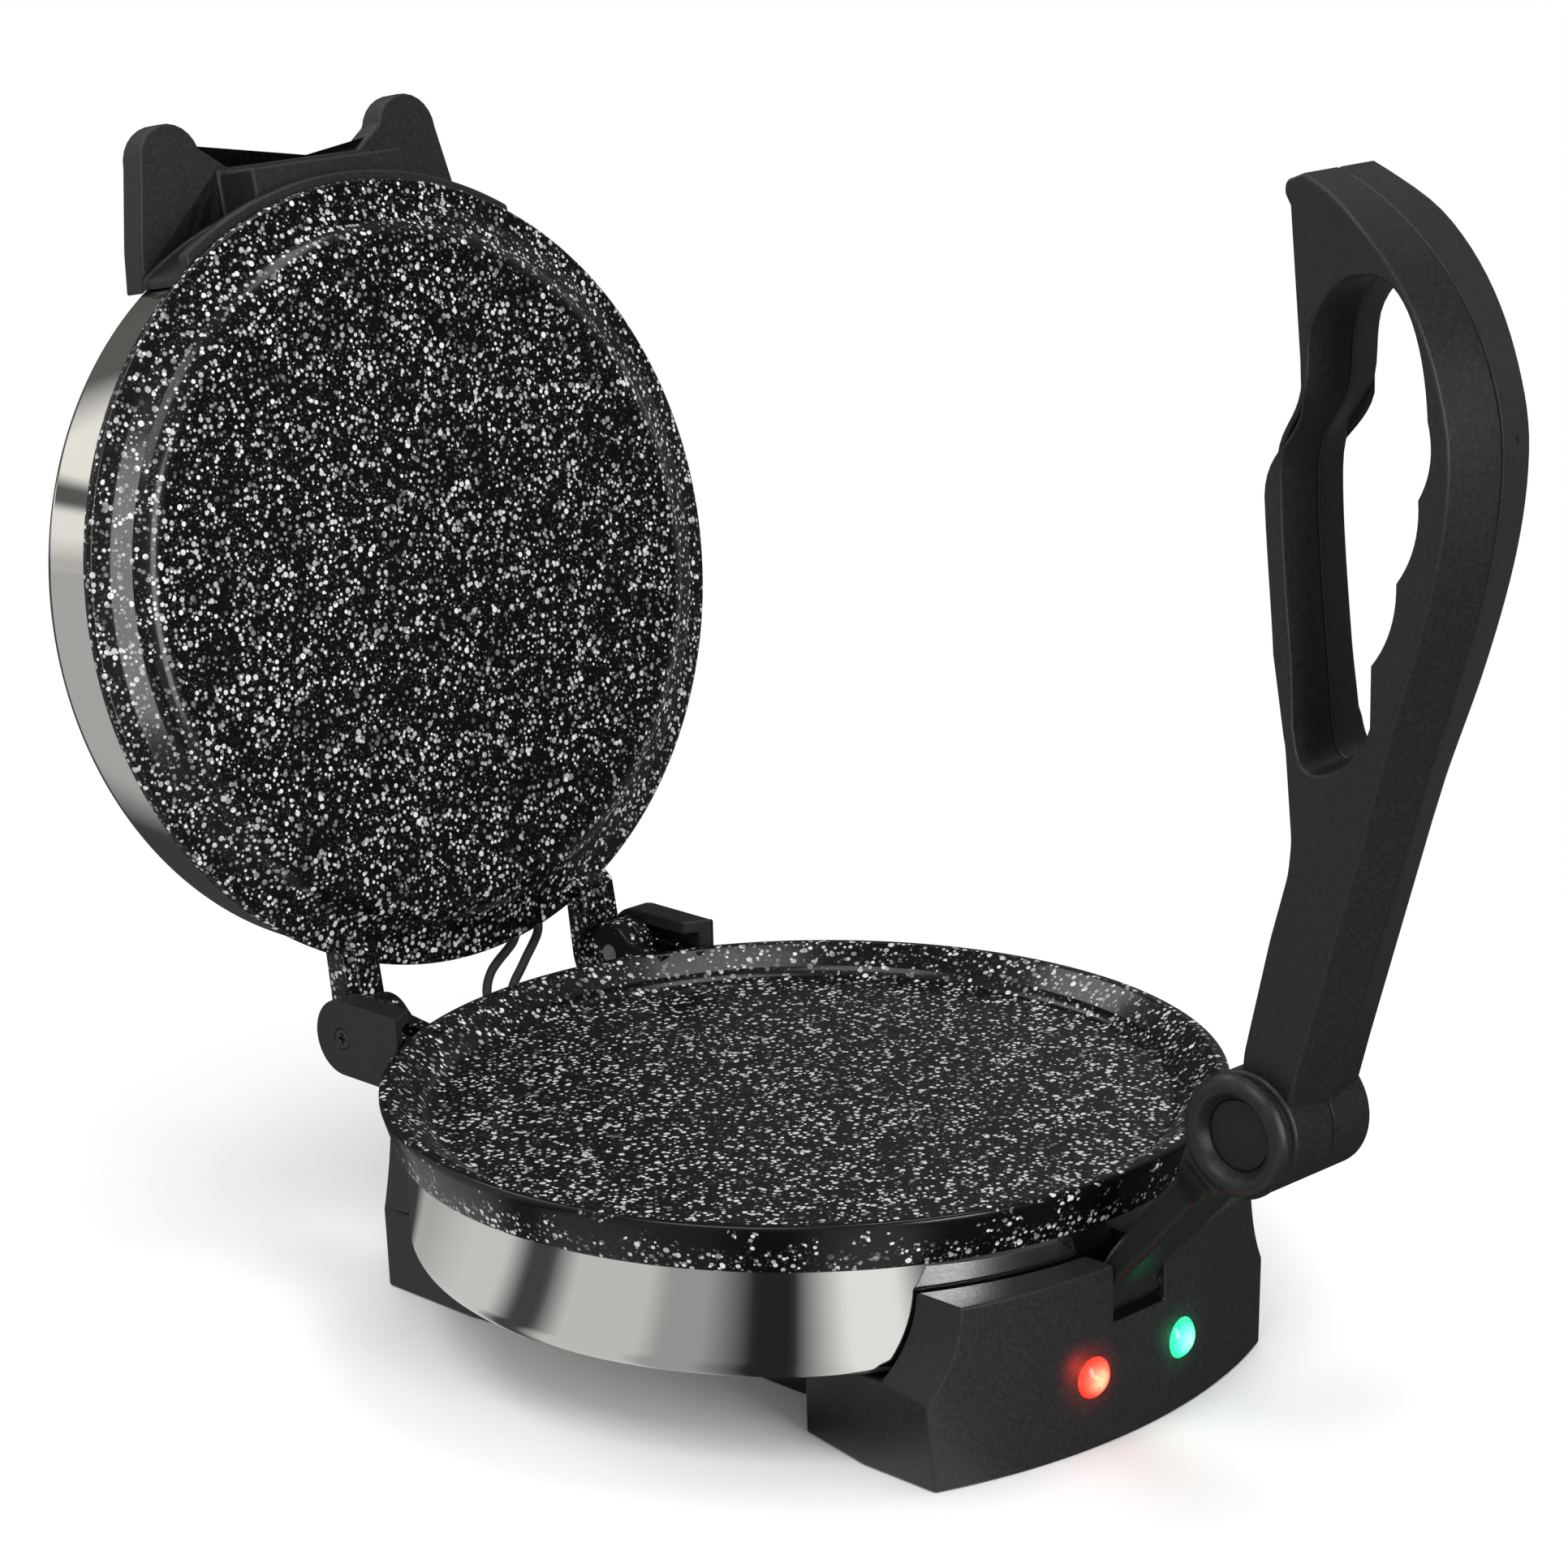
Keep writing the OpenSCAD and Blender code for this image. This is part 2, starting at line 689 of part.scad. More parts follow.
module lamp_board() {
    color([0.1, 0.35, 0.2]) translate([-board_half, -board_y, cover_top])
        cube([2 * board_half, board_t, deck_under - cover_top]);
}

module lamps() {
    color([0.9, 0.85, 0.8]) for (x = [-lamp_x, lamp_x])
        translate([x, -board_y, lamp_z]) rotate([90, 0, 0]) cylinder(r = lamp_r, h = lamp_h);
}

// Domed lens with a stem through the front wall
module lens(x, shade) {
    dome_r = (lens_r * lens_r + lens_out * lens_out) / (2 * lens_out);
    color(shade) on_front_face(x) translate([0, lamp_z, 0]) {
        intersection() {
            cylinder(r = lens_r, h = lens_out + eps);
            translate([0, 0, lens_out - dome_r]) sphere(r = dome_r);
            translate([-far / 2, -far / 2, 0]) cube(far);
        }
        translate([0, 0, -lens_stem_len]) cylinder(r = lens_stem_r, h = lens_stem_len + 0.2);
    }
}

module lens_red() {
    lens(-lamp_x, [0.9, 0.1, 0.08]);
}

module lens_green() {
    lens(lamp_x, [0.1, 0.8, 0.3]);
}

module cord_gland() {
    color([0.08, 0.08, 0.08]) translate([0, rear_y, gland_z]) rotate([-90, 0, 0]) difference() {
        union() {
            cylinder(r = gland_flange_r, h = gland_flange_t);
            translate([0, 0, -gland_len + gland_flange_t]) cylinder(r = gland_r, h = gland_len);
        }
        translate([0, 0, -gland_len]) cylinder(r = gland_bore_r, h = 2 * gland_len);
    }
}

module lead_bush() {
    lip = 1;
    color([0.1, 0.1, 0.1]) difference() {
        for (x = lead_base_x) translate([x, lead_base_y, stand_top]) {
            translate([0, 0, -stand_wall - lip]) cylinder(r = bush_r, h = stand_wall + lip);
            cylinder(r = bush_r + 0.2, h = lip);
        }
        for (x = lead_base_x) translate([x, lead_base_y, 0]) cylinder(r = lead_r, h = far);
    }
}

// Cap over the outer lug: an end wall and a rim round the knuckle, open towards the lug
module hinge_cap_form() {
    lift = cap_r - outer_lug_r + 0.3;
    mid_z = hinge_z + 0.3;
    difference() {
        union() {
            x_rod(cap_in_x, cap_out_x, cap_r, hinge_y, mid_z);
            translate([cap_in_x, hinge_y - cap_reach, mid_z - cap_r])
                cube([cap_out_x - cap_in_x, cap_reach, 2 * cap_r]);
        }
        x_rod(cap_in_x - eps, pin_end_x + fit_gap, outer_lug_r + fit_gap, hinge_y, hinge_z);
        translate([cap_in_x - eps, hinge_y - cap_reach - eps, under_z])
            cube([pin_end_x + fit_gap - cap_in_x + eps, cap_reach + eps,
                hinge_z + outer_lug_r - under_z + fit_gap]);
        translate([0, 0, skirt_z - lift]) cylinder(r = plate_r + fit_gap, h = far, $fn = 192);
        x_rod(0, far, screw_r, hinge_y, hinge_z);
        x_rod(cap_out_x - cap_head_h - 0.4, far, screw_head_r + 0.2, hinge_y, hinge_z);
    }
}

module hinge_cap_left() {
    color([0.06, 0.06, 0.065]) mirror([1, 0, 0]) hinge_cap_form();
}

module hinge_cap_right() {
    color([0.06, 0.06, 0.065]) hinge_cap_form();
}

module hinge_pins() {
    color([0.65, 0.65, 0.67]) both_sides() difference() {
        x_rod(lug_x, pin_end_x, hinge_pin_r, hinge_y, hinge_z);
        x_rod(pin_end_x - cap_screw_len, pin_end_x + eps, screw_r, hinge_y, hinge_z);
    }
}

module cap_screws() {
    seat_x = cap_out_x - cap_head_h - 0.4;
    color([0.25, 0.25, 0.26]) both_sides() translate([seat_x, hinge_y, hinge_z]) rotate([0, 90, 0])
        screw(screw_r, seat_x - pin_end_x + cap_screw_len - eps, screw_head_r, cap_head_h);
}

module link_pin() {
    color([0.65, 0.65, 0.67]) x_rod(-cheek_half, cheek_half, link_pin_r, -link_y, link_z);
}

// Places what is drawn for an upright link from its lower pivot
module on_link() {
    translate([0, -link_y, link_z]) rotate([link_angle, 0, 0]) children();
}

module link() {
    widen_z = link_len - 32;
    yoke_z = link_len - 20;
    left_x = cheek_x + ring_t;
    right_x = cheek_x + boss_t;
    color([0.06, 0.06, 0.065]) on_link() difference() {
        union() {
            x_rod(-link_half, link_half, link_barrel_r);
            intersection() {
                rotate([90, 0, 0]) translate([0, 0, -link_t]) linear_extrude(height = 2 * link_t) polygon([
                    [-link_half, 0], [link_half, 0], [link_half, widen_z], [right_x, yoke_z],
                    [right_x, link_len], [-left_x, link_len], [-left_x, yoke_z], [-link_half, widen_z]]);
                side_cut(-left_x - eps, right_x + eps, [
                    [-link_barrel_r, 0], [link_barrel_r, 0], [link_t / 2, 20],
                    [link_t / 2, link_len], [-link_t / 2, link_len], [-link_t / 2, 20]]);
            }
            x_rod(-left_x, -cheek_x, ring_r, 0, link_len);
            x_rod(cheek_x, right_x, boss_r, 0, link_len);
        }
        x_rod(-cheek_x, cheek_x, barrel_clear, 0, link_len);
        translate([-cheek_x, -far / 2, link_len]) cube([2 * cheek_x, far, far]);
        x_rod(-link_half - eps, link_half + eps, link_pin_r + run_fit);
        x_rod(-left_x - eps, right_x - 1, handle_pin_r, 0, link_len);
        x_rod(-left_x - eps, -left_x + disc_depth, disc_r, 0, link_len);
    }
}

module pivot_cap() {
    left_x = cheek_x + ring_t;
    color([0.09, 0.09, 0.095]) on_link()
        x_rod(-left_x + 1.3, -left_x + disc_depth, disc_r - 0.1, 0, link_len);
}

module handle_pin() {
    left_x = cheek_x + ring_t;
    color([0.65, 0.65, 0.67]) on_link()
        x_rod(-left_x + disc_depth, cheek_x + boss_t - 1, handle_pin_r, 0, link_len);
}

// The handle's outlines are drawn in Y and Z from its pivot, in the open pose.
// The spine runs from the barrel up to the top and bulges forward at the grip.
grip_far = [-spine_reach, 178];
grip_low = [-42.1, 93.3];
top_tip = [-13.6, handle_top];
spine = concat(
    [[-20.5, 21.5], grip_low],
    curve(grip_low, [-51.5, 123], [-spine_reach, 150], grip_far, 8),
    curve(grip_far, [-spine_reach, 205], [-44, handle_top - 11.5], top_tip, 9));

// Edge towards the lid: the lower solid, then the inner member with its jog and its top
lower_edge = [[-3, 0], [3.4, 5], [1.8, 20.7], [-6.1, 52.4], [-11.5, 70.4], [-12.4, 79], [-10.1, 103]];
member_edge = concat([[-1.8, 125], [1.4, 165]],
    curve([1.4, 165], [1.4, 178], [-10.1, 176], [-9.8, 190], 6),
    [[-5.3, handle_top - 8]],
    arc([-9.3, handle_top - 6], 4.2, 0, 80, 3));

// Rim of the finger opening: its round foot, grooves between cusps on the grip, then up,
// over and down
hole_corner = [-13.6, 108];
hole_low = concat(curve(hole_corner, [-14.5, 98], [-18, 97.2], [-23.5, 99.8], 5),
    curve([-23.5, 99.8], [-29, 102.5], [-34, 107], [-36, 113], 4));
cusps = [[-37.4, 128], [-44.4, 149.2], [-50.3, 170.1], [-52.6, 189]];
function groove(a, b) =
    let (out = unit([a[1] - b[1], b[0] - a[0]]), m = (a + b) / 2 + 2 * groove_depth * out)
    [for (i = [1:5]) let (t = i / 5, u = 1 - t) u * u * a + 2 * u * t * m + t * t * b];
grip_rim = concat([hole_low[len(hole_low) - 1], cusps[0]], [for (i = [0:2]) each groove(cusps[i], cusps[i + 1])],
    curve(cusps[3], [-51.5, 206], [-46, 221.5], [-36, 221.5], 6));
member_rim = concat(
    curve([-36, 221.5], [-25, 221.5], [-18.5, 214], [-18.5, 198], 6),
    curve([-18.5, 198], [-18.5, 182], [-8.6, 184], [-8.6, 168], 6),
    curve([-8.6, 168], [-8.6, 150], [-12.5, 125], hole_corner, 4), hole_low);

// Points of the spine moved in towards the lid by d, square to the curve. The ridge
// fades out towards the top.
function spine_in(d) =
    let (n = len(spine), fade = 50)
    [for (i = [0:n - 1])
        let (t = unit(spine[min(i + 1, n - 1)] - spine[max(i - 1, 0)]),
             k = min(1, (handle_top - spine[i][1]) / fade))
        spine[i] + d * k * [t[1], -t[0]]];

// Outline of the handle where it holds the inner member too, whose back is moved in by b
function wide_outline(d, b) =
    concat(reversed(spine_in(d)), lower_edge, [for (p = member_edge) p - [b, 0]]);

// Outline of the finger opening, whose side at the inner member is moved out by f. The
// shift fades towards the foot and towards the top of the grip.
function hole_outline(f) = let (fade = 22, foot = hole_corner[1], top = grip_rim[len(grip_rim) - 1][0])
    concat(grip_rim, [for (i = [0:len(member_rim) - 2]) let (p = member_rim[i])
        p + [f * min(1, (p[0] - top) / fade * 1.4) * max(0, min(1, (p[1] - foot) / fade)), 0]]);

// Outline of the handle outside the inner member
function grip_outline(d) = concat(reversed(spine_in(d)), lower_edge, [hole_corner],
    [for (i = [0:len(hole_low) - 2]) hole_low[i]], grip_rim, [[-25, 230.5], [-15.5, handle_top - 5]]);

// Right half of the handle, from its pivot; its room inside is left of the lower edge
module handle_half(screw_side) {
    waist = grip_half - 2;
    room = concat([for (p = spine) if (p[1] < 100) p + [handle_wall + spine_crown / 2 + 1, 4]],
        reversed([for (p = lower_edge) if (p[1] > 20 && p[1] < 103) p - [handle_wall, 0] + [0, 4]]));
    difference() {
        union() {
            difference() {
                union() {
                    side_cut(0, ridge_half, wide_outline(0, 0));
                    side_cut(ridge_half, member_half, wide_outline(spine_crown * ridge_share, member_back));
                    side_cut(member_half, waist, grip_outline(spine_crown * member_share));
                    intersection() {
                        side_cut(waist, grip_half, grip_outline(spine_crown * waist_share));
                        translate([0, -far / 2, grip_full_z]) cube(far);
                    }
                }
                side_cut(-eps, member_half + eps, hole_outline(0));
                side_cut(ridge_half, member_half + eps, hole_outline(member_ridge));
                side_cut(-eps, waist - handle_wall, room);
            }
            x_rod(0, barrel_half, barrel_r);
            x_rod(0, member_half, screw_r + handle_wall, handle_screws_at[0][0], handle_screws_at[0][1]);
        }
        x_rod(-eps, far, handle_pin_r + run_fit);
        for (i = [0:2]) translate([0, handle_screws_at[i][0], handle_screws_at[i][1]]) {
            x_rod(-eps, screw_side ? far : screw_depth, screw_r);
            if (screw_side) x_rod(screw_seats[i], far, screw_head_r + 0.2);
        }
    }
}

module on_handle() {
    translate([0, pivot_y, pivot_z]) children();
}

module handle_left() {
    color([0.06, 0.06, 0.065]) on_handle() mirror([1, 0, 0]) handle_half(false);
}

module handle_right() {
    color([0.06, 0.06, 0.065]) on_handle() handle_half(true);
}

module handle_screws() {
    color([0.25, 0.25, 0.26]) on_handle() for (i = [0:2])
        translate([screw_seats[i], handle_screws_at[i][0], handle_screws_at[i][1]]) rotate([0, 90, 0])
            screw(screw_r, screw_seats[i] + screw_depth - eps, screw_head_r, head_h);
}

// Lid parts are drawn closed, face down over the base plate

module lid_plate() {
    shoulder = [shoulder_r, lid_face_z + face_dome + shoulder_rad];
    color([0.07, 0.07, 0.08]) opened() difference() {
        union() {
            rotate_extrude($fn = 192) polygon(concat(
                [for (i = [0:5]) let (r = shoulder_r * i / 6) [r, lid_face_z + face_dome * pow(i / 6, 2)]],
                arc(shoulder, shoulder_rad, -90, -35, 6),
                [[lid_r - 7, rim_z - 1.1]],
                arc([lid_r - 1.4, rim_z + 1.4], 1.4, -80, 0, 4),
                [[lid_r, rim_top_z - 1], [lid_r - 1.7, rim_top_z],
                 [bowl_r + fit_gap, rim_top_z], [bowl_r + fit_gap, lid_seat_z],
                 [lid_recess_r, lid_seat_z], [lid_recess_r, lid_recess_z], [0, lid_recess_z]]));
            translate([0, 0, lid_recess_z - eps])
                cylinder(r = bolt_r + boss_wall, h = 2 * heater_tube_r + eps);
            both_sides() difference() {
                lid_arm();
                translate([0, 0, lid_seat_z]) cylinder(r = bowl_r + fit_gap, h = far, $fn = 192);
            }
        }
        translate([0, 0, lid_recess_z - lid_t / 2])
            cylinder(r = bolt_r, h = 2 * heater_tube_r + lid_t);
        both_sides() {
            x_rod(arm_x - eps, arm_out_x + eps, hinge_pin_r + run_fit, hinge_y, hinge_z);
            x_rod(arm_x - eps, lid_knuckle_x, arm_clear_r, hinge_y, hinge_z);
        }
    }
}

// Arm from the plate's rim over the base's lug, with the lid's knuckle at its end
module lid_arm() {
    root_y = sqrt(lid_r * lid_r - arm_out_x * arm_out_x) - 1.5;
    arm_low = crest_z + 1.4;
    x_rod(lid_knuckle_x, arm_out_x, knuckle_r, hinge_y, hinge_z);
    side_cut(arm_x, arm_out_x, concat(
        [[root_y, rim_top_z], [root_y, rim_z - 1], [root_y + 3, arm_low],
         [hinge_y - arm_clear_r, arm_low], [hinge_y, hinge_z + knuckle_r * 0.5]],
        arc([hinge_y, hinge_z], arm_clear_r + arm_t, 35, 95, 6)));
}

module lid_cover() {
    color([0.8, 0.81, 0.83]) opened() difference() {
        translate([0, 0, cover_edge_z]) mirror([0, 0, 1])
            pressed_shell(0, lid_band_h, cover_rad, cover_crown);
        cylinder(r = bolt_r, h = far);
        for (x = lead_lid_x) translate([x, bush_lid_y[0], bush_lid_z]) rotate([-90, 0, 0])
            cylinder(r = bush_r, h = far);
        catch_bores();
    }
}

module lid_heater() {
    opened() heater(lid_recess_z + heater_tube_r, false);
}

module lid_clamp() {
    opened() clamp_plate(lid_recess_z + 2 * heater_tube_r);
}

module lid_spacer() {
    color([0.7, 0.7, 0.7]) opened()
        tube(bolt_r + spacer_wall, bolt_r, lid_recess_z + 2 * heater_tube_r + clamp_t,
            cover_top_z - sheet_t - 0.2);
}

module lid_bolt() {
    color([0.6, 0.6, 0.62]) opened() translate([0, 0, cover_top_z])
        screw(bolt_r, cover_top_z - lid_recess_z + lid_t / 2, 2 * bolt_r, bolt_r);
}

module lid_lead_bushes() {
    color([0.1, 0.1, 0.1]) opened() for (x = lead_lid_x)
        translate([x, bush_lid_y[0], bush_lid_z]) rotate([-90, 0, 0])
            tube(bush_r, lead_r, 0, bush_lid_y[1] - bush_lid_y[0]);
}

// Screws of the catch bracket run square through its neck into the lid cover
module at_catch_screws() {
    for (s = [-1, 1]) rotate([0, 0, s * catch_screw_turn])
        translate([0, -hug_r - catch_wall, rim_top_z + catch_screw_lift]) rotate([90, 0, 0]) children();
}

module catch_bores() {
    at_catch_screws() translate([0, 0, -catch_screw_len]) cylinder(r = screw_r, h = 2 * catch_screw_len);
}

// Plan of the bracket: two round-tipped ears with a straight wall between them
function catch_side() = concat(
    [[catch_gap_half, -lid_r - catch_wall_out]],
    arc([ear_x, -lid_r - ear_out + ear_r], ear_r, 195, 360, 12),
    [[catch_half - 2, -catch_side_y - 16], [catch_half, -catch_side_y]]);
function catch_plan() = concat(reversed([for (p = catch_side()) [-p[0], p[1]]]), catch_side());

// Box before the wall between the ears, with its faces moved in by t
module saddle(t) {
    low_z = rim_top_z + saddle_lift + t;
    out_y = lid_r + catch_wall_out - saddle_drop - t;
    translate([-saddle_half + t, -out_y, low_z])
        cube([2 * (saddle_half - t), out_y - bowl_r / 2, catch_z + catch_wall - low_z + eps]);
}

module catch_bracket() {
    neck_r = hug_r + catch_wall;
    color([0.06, 0.06, 0.065]) opened() difference() {
        union() {
            translate([0, 0, catch_z]) linear_extrude(height = catch_h) polygon(catch_plan());
            intersection() {
                union() {
                    translate([0, 0, rim_top_z]) cylinder(r = flange_r, h = flange_t, $fn = 192);
                    translate([0, 0, rim_top_z]) cylinder(r = neck_r, h = catch_lift + eps, $fn = 192);
                }
                translate([-catch_half + 1.5, -far, 0])
                    cube([2 * catch_half - 3, far - catch_side_y + 2, far]);
            }
            intersection() {
                saddle(0);
                translate([-far, -far, 0]) cube([2 * far, far - catch_side_y, far]);
            }
        }
        cylinder(r = hug_r, h = far, $fn = 192);
        difference() {
            union() {
                translate([0, 0, catch_z + catch_wall]) linear_extrude(height = far)
                    polygon(inset(catch_plan(), catch_wall));
                saddle(catch_wall);
            }
            cylinder(r = neck_r, h = far, $fn = 192);
        }
        catch_bores();
    }
}

module catch_screws() {
    color([0.6, 0.6, 0.62]) opened() at_catch_screws()
        screw(screw_r, catch_screw_len, screw_head_r, head_h);
}

// Round tube swept along points, with its rings square to the route
function ring(p, t, r) =
    let (u = unit(cross(t, [1, 0, 0.2])), v = cross(t, u))
    [for (i = [0:7]) p + r * (cos(45 * i) * u + sin(45 * i) * v)];

module swept_tube(path, r) {
    n = len(path);
    rings = [for (i = [0:n - 1]) each ring(path[i], unit(path[min(i + 1, n - 1)] - path[max(i - 1, 0)]), r)];
    sides = [for (i = [0:n - 2], j = [0:7]) let (a = 8 * i + j, b = 8 * i + (j + 1) % 8)
        each [[a, b, b + 8], [a, b + 8, a + 8]]];
    ends = [[for (j = [7:-1:0]) j], [for (j = [0:7]) 8 * (n - 1) + j]];
    polyhedron(points = rings, faces = concat([for (f = sides) reversed(f)], [for (f = ends) reversed(f)]));
}

// Where a lead leaves its bush in the open lid
function lid_exit(x) =
    let (y = bush_lid_y[1] - hinge_y, z = bush_lid_z - hinge_z)
    [x, hinge_y + y * cos(open_angle) + z * sin(open_angle),
     hinge_z - y * sin(open_angle) + z * cos(open_angle)];

// Routes of the leads from the stand's top up behind the plates into the lid, from the
// hinge axis in Y and Z
lead_left_mid = [[-1, -3.2, -13], [-0.5, 6.8, -6], [6, 12.8, 0.5], [19, 16.8, 6.5]];
lead_right_mid = [[6.5, -3.2, -13], [9, 6.8, -6], [18.5, 11.8, 0.5], [29, 16.8, 6.5]];
function smooth(p, n) = concat([p[0]], [for (i = [0:len(p) - 2])
    let (before = p[max(i - 1, 0)], after = p[min(i + 2, len(p) - 1)])
    each curve(p[i], p[i] + (p[i + 1] - before) / 6, p[i + 1] - (after - p[i]) / 6, p[i + 1], n)]);

module lead(i, mid) {
    in_base = [lead_base_x[i], lead_base_y, stand_top - stand_wall];
    top_base = [lead_base_x[i], lead_base_y, stand_top + 1];
    exit = lid_exit(lead_lid_x[i]);
    inward = [0, -cos(open_angle), sin(open_angle)];
    route = [for (p = mid) p + [0, hinge_y, hinge_z]];
    color([0.05, 0.05, 0.05]) swept_tube(
        concat([in_base], smooth(concat([top_base], route, [exit]), 5), [exit + 8 * inward]),
        lead_r - 0.05);
}

module lead_left() {
    lead(0, lead_left_mid);
}

module lead_right() {
    lead(1, lead_right_mid);
}

stand();
bottom_cover();
feet();
cover_screws();
base_bowl();
base_plate();
base_heater();
base_clamp();
base_spacer();
base_bolt();
thermostat();
thermal_fuse();
terminal_block();
lamp_board();
lamps();
lens_red();
lens_green();
cord_gland();
lead_bush();
hinge_cap_left();
hinge_cap_right();
hinge_pins();
cap_screws();
link_pin();
link();
pivot_cap();
handle_pin();
handle_left();
handle_right();
handle_screws();
lid_plate();
lid_cover();
lid_heater();
lid_clamp();
lid_spacer();
lid_bolt();
lid_lead_bushes();
catch_bracket();
catch_screws();
lead_left();
lead_right();
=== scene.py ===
# Looks of the electric roti maker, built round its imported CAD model.
# Shapes are drawn in millimetres and become metres in make(). Materials and the studio are in metres.
# X runs right as seen from the front, Y back to the hinge, Z up. The lid is drawn closed and then opened.
import bpy, bmesh, json
from math import asin, cos, pi, radians, sin, sqrt, tan
from mathutils import Matrix, Vector
from mathutils.geometry import delaunay_2d_cdt


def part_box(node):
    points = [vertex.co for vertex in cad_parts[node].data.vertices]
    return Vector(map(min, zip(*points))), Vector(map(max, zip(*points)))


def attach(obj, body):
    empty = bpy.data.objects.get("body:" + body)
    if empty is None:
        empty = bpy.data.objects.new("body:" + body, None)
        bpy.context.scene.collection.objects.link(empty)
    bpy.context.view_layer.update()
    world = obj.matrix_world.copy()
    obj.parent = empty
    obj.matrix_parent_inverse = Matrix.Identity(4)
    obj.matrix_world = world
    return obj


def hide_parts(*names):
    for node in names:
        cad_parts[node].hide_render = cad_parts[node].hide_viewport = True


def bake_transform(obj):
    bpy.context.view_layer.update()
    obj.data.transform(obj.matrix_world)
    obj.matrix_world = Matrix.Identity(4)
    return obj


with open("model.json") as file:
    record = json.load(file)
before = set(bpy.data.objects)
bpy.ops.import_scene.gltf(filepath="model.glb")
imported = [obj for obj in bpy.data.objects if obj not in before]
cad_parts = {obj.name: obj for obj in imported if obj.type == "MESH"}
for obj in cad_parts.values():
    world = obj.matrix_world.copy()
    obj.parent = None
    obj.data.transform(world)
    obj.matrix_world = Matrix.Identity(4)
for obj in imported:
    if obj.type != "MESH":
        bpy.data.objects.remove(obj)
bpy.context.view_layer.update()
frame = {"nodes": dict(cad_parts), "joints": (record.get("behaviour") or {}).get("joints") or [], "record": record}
MM = 0.001


def node_box(name):
    low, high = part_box(name)
    return [v / MM for v in low], [v / MM for v in high]


def joint(name):
    return next(j for j in frame["joints"] if j["name"] == name)


# Sizes in millimetres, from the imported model's boxes and joints where it gives them
bowl_low, bowl_high = node_box("base_bowl")
BOWL_R, BOWL_Z, UNDER_Z = bowl_high[0], bowl_low[2], bowl_high[2]
SHEET_T, BOWL_RAD, COVER_RAD, COVER_CROWN, SEAT_GAP = 1.2, 6.0, 4.5, 2.0, 0.3
PLATE_R = node_box("base_plate")[1][0]
PLATE_T, DISH_DEPTH, WALL_H, DRAFT, SLOPE_W, DISH_FILLET = 5.0, 8.0, 14.4, 3.9, 15.0, 6.0
DISH_Z = UNDER_Z + PLATE_T
CREST_Z = DISH_Z + DISH_DEPTH
SKIRT_Z = CREST_Z - WALL_H
LID_R = node_box("lid_plate")[1][0]
LID_FACE_Z, LID_DOME, LID_T = DISH_Z + 5.0, 1.1, 5.6
SHOULDER_R, SHOULDER_RAD = LID_R - 21.0, 10.0
RIM_Z = CREST_Z + 5.6
RIM_TOP_Z = RIM_Z + 3.4
SEAT_Z = RIM_TOP_Z - 2.0
COVER_H, LID_RECESS = 29.0, 10.0
_, HINGE_Y, HINGE_Z = [v / MM for v in joint("lid_hinge")["pos_m"]]
OPEN_ANGLE = 100.45
PIVOT_Y, PIVOT_Z = [v / MM for v in joint("handle_pivot")["pos_m"]][1:]
KNUCKLE_R, OUTER_LUG_R, CLEAR_R, ARM_T = 9.75, 7.5, 10.2, 4.0
ARM_X, LUG_X, KNUCKLE_X, ARM_OUT, OUTER_X, PIN_END = 41.0, 44.0, 49.8, 55.0, 55.3, 59.8
LUG_T, LUG_ROOT = 5.5, 7.0
BARREL_R, BARREL_HALF, BARREL_EDGE, PIN_R, BORE_GAP = 16.3, 15.5, 1.4, 4.0, 0.06
GRIP_HALF, WAIST_HALF, SEAM_HALF, SEAM_GROOVE_R = 16.5, 14.5, 15.0, 0.15
HANDLE_TOP, SPINE_REACH, SPINE_CROWN, MEMBER_BACK, GROOVE_DEPTH, RIM_EDGE = 243.5, 63.1, 4.2, 3.0, 2.1, 1.0
# Screws in the right half: (Y, Z) from the pivot, bore radius and the X where the head seats
SCREW_BORES = [((-20, 60), 3.2, 11.5), ((-12, 222), 3.2, 10.0)]
MIDDLE_SCREW_Z, SCREW_REACH, MIDDLE_SINK, TOP_SCREW_Z, TOP_SINK = 182.0, 8.0, 6.0, 203.5, 2.4
_, LINK_Y, LINK_Z = [v / MM for v in joint("link_pivot")["pos_m"]]
LINK_LEN = sqrt((PIVOT_Y - LINK_Y) ** 2 + (PIVOT_Z - LINK_Z) ** 2)
LINK_TILT = asin((LINK_Y - PIVOT_Y) / LINK_LEN)
RING_R, RING_BASE_X, RING_FACE_X, DISC_R, BOSS_R, BOSS_X = 16.4, 16.1, 21.75, 9.5, 11.0, 20.0
CHEEK_X, CHEEK_FOOT, CHEEK_R = 15.9, 62.0, 15.4
PIN_LOW, PIN_HIGH, AXIS_R = 17.0, 19.0, 0.02
LEAD_R, STAND_BUSH_Y, STAND_BUSH_TOP, LEAD_HIDDEN = 1.45, 121.8, 51.5, 3.5

OPENED = (Matrix.Translation((0, HINGE_Y, HINGE_Z)) @ Matrix.Rotation(radians(-OPEN_ANGLE), 4, "X")
          @ Matrix.Translation((0, -HINGE_Y, -HINGE_Z)))


# Helpers for node materials
def new_material(name, colour, roughness, metallic=0.0, specular=0.5):
    mat = bpy.data.materials.new(name)
    mat.use_nodes = True
    shader = mat.node_tree.nodes["Principled BSDF"]
    shader.inputs["Base Color"].default_value = (*colour, 1)
    shader.inputs["Roughness"].default_value = roughness
    shader.inputs["Metallic"].default_value = metallic
    shader.inputs["Specular IOR Level"].default_value = specular
    return mat, mat.node_tree, shader


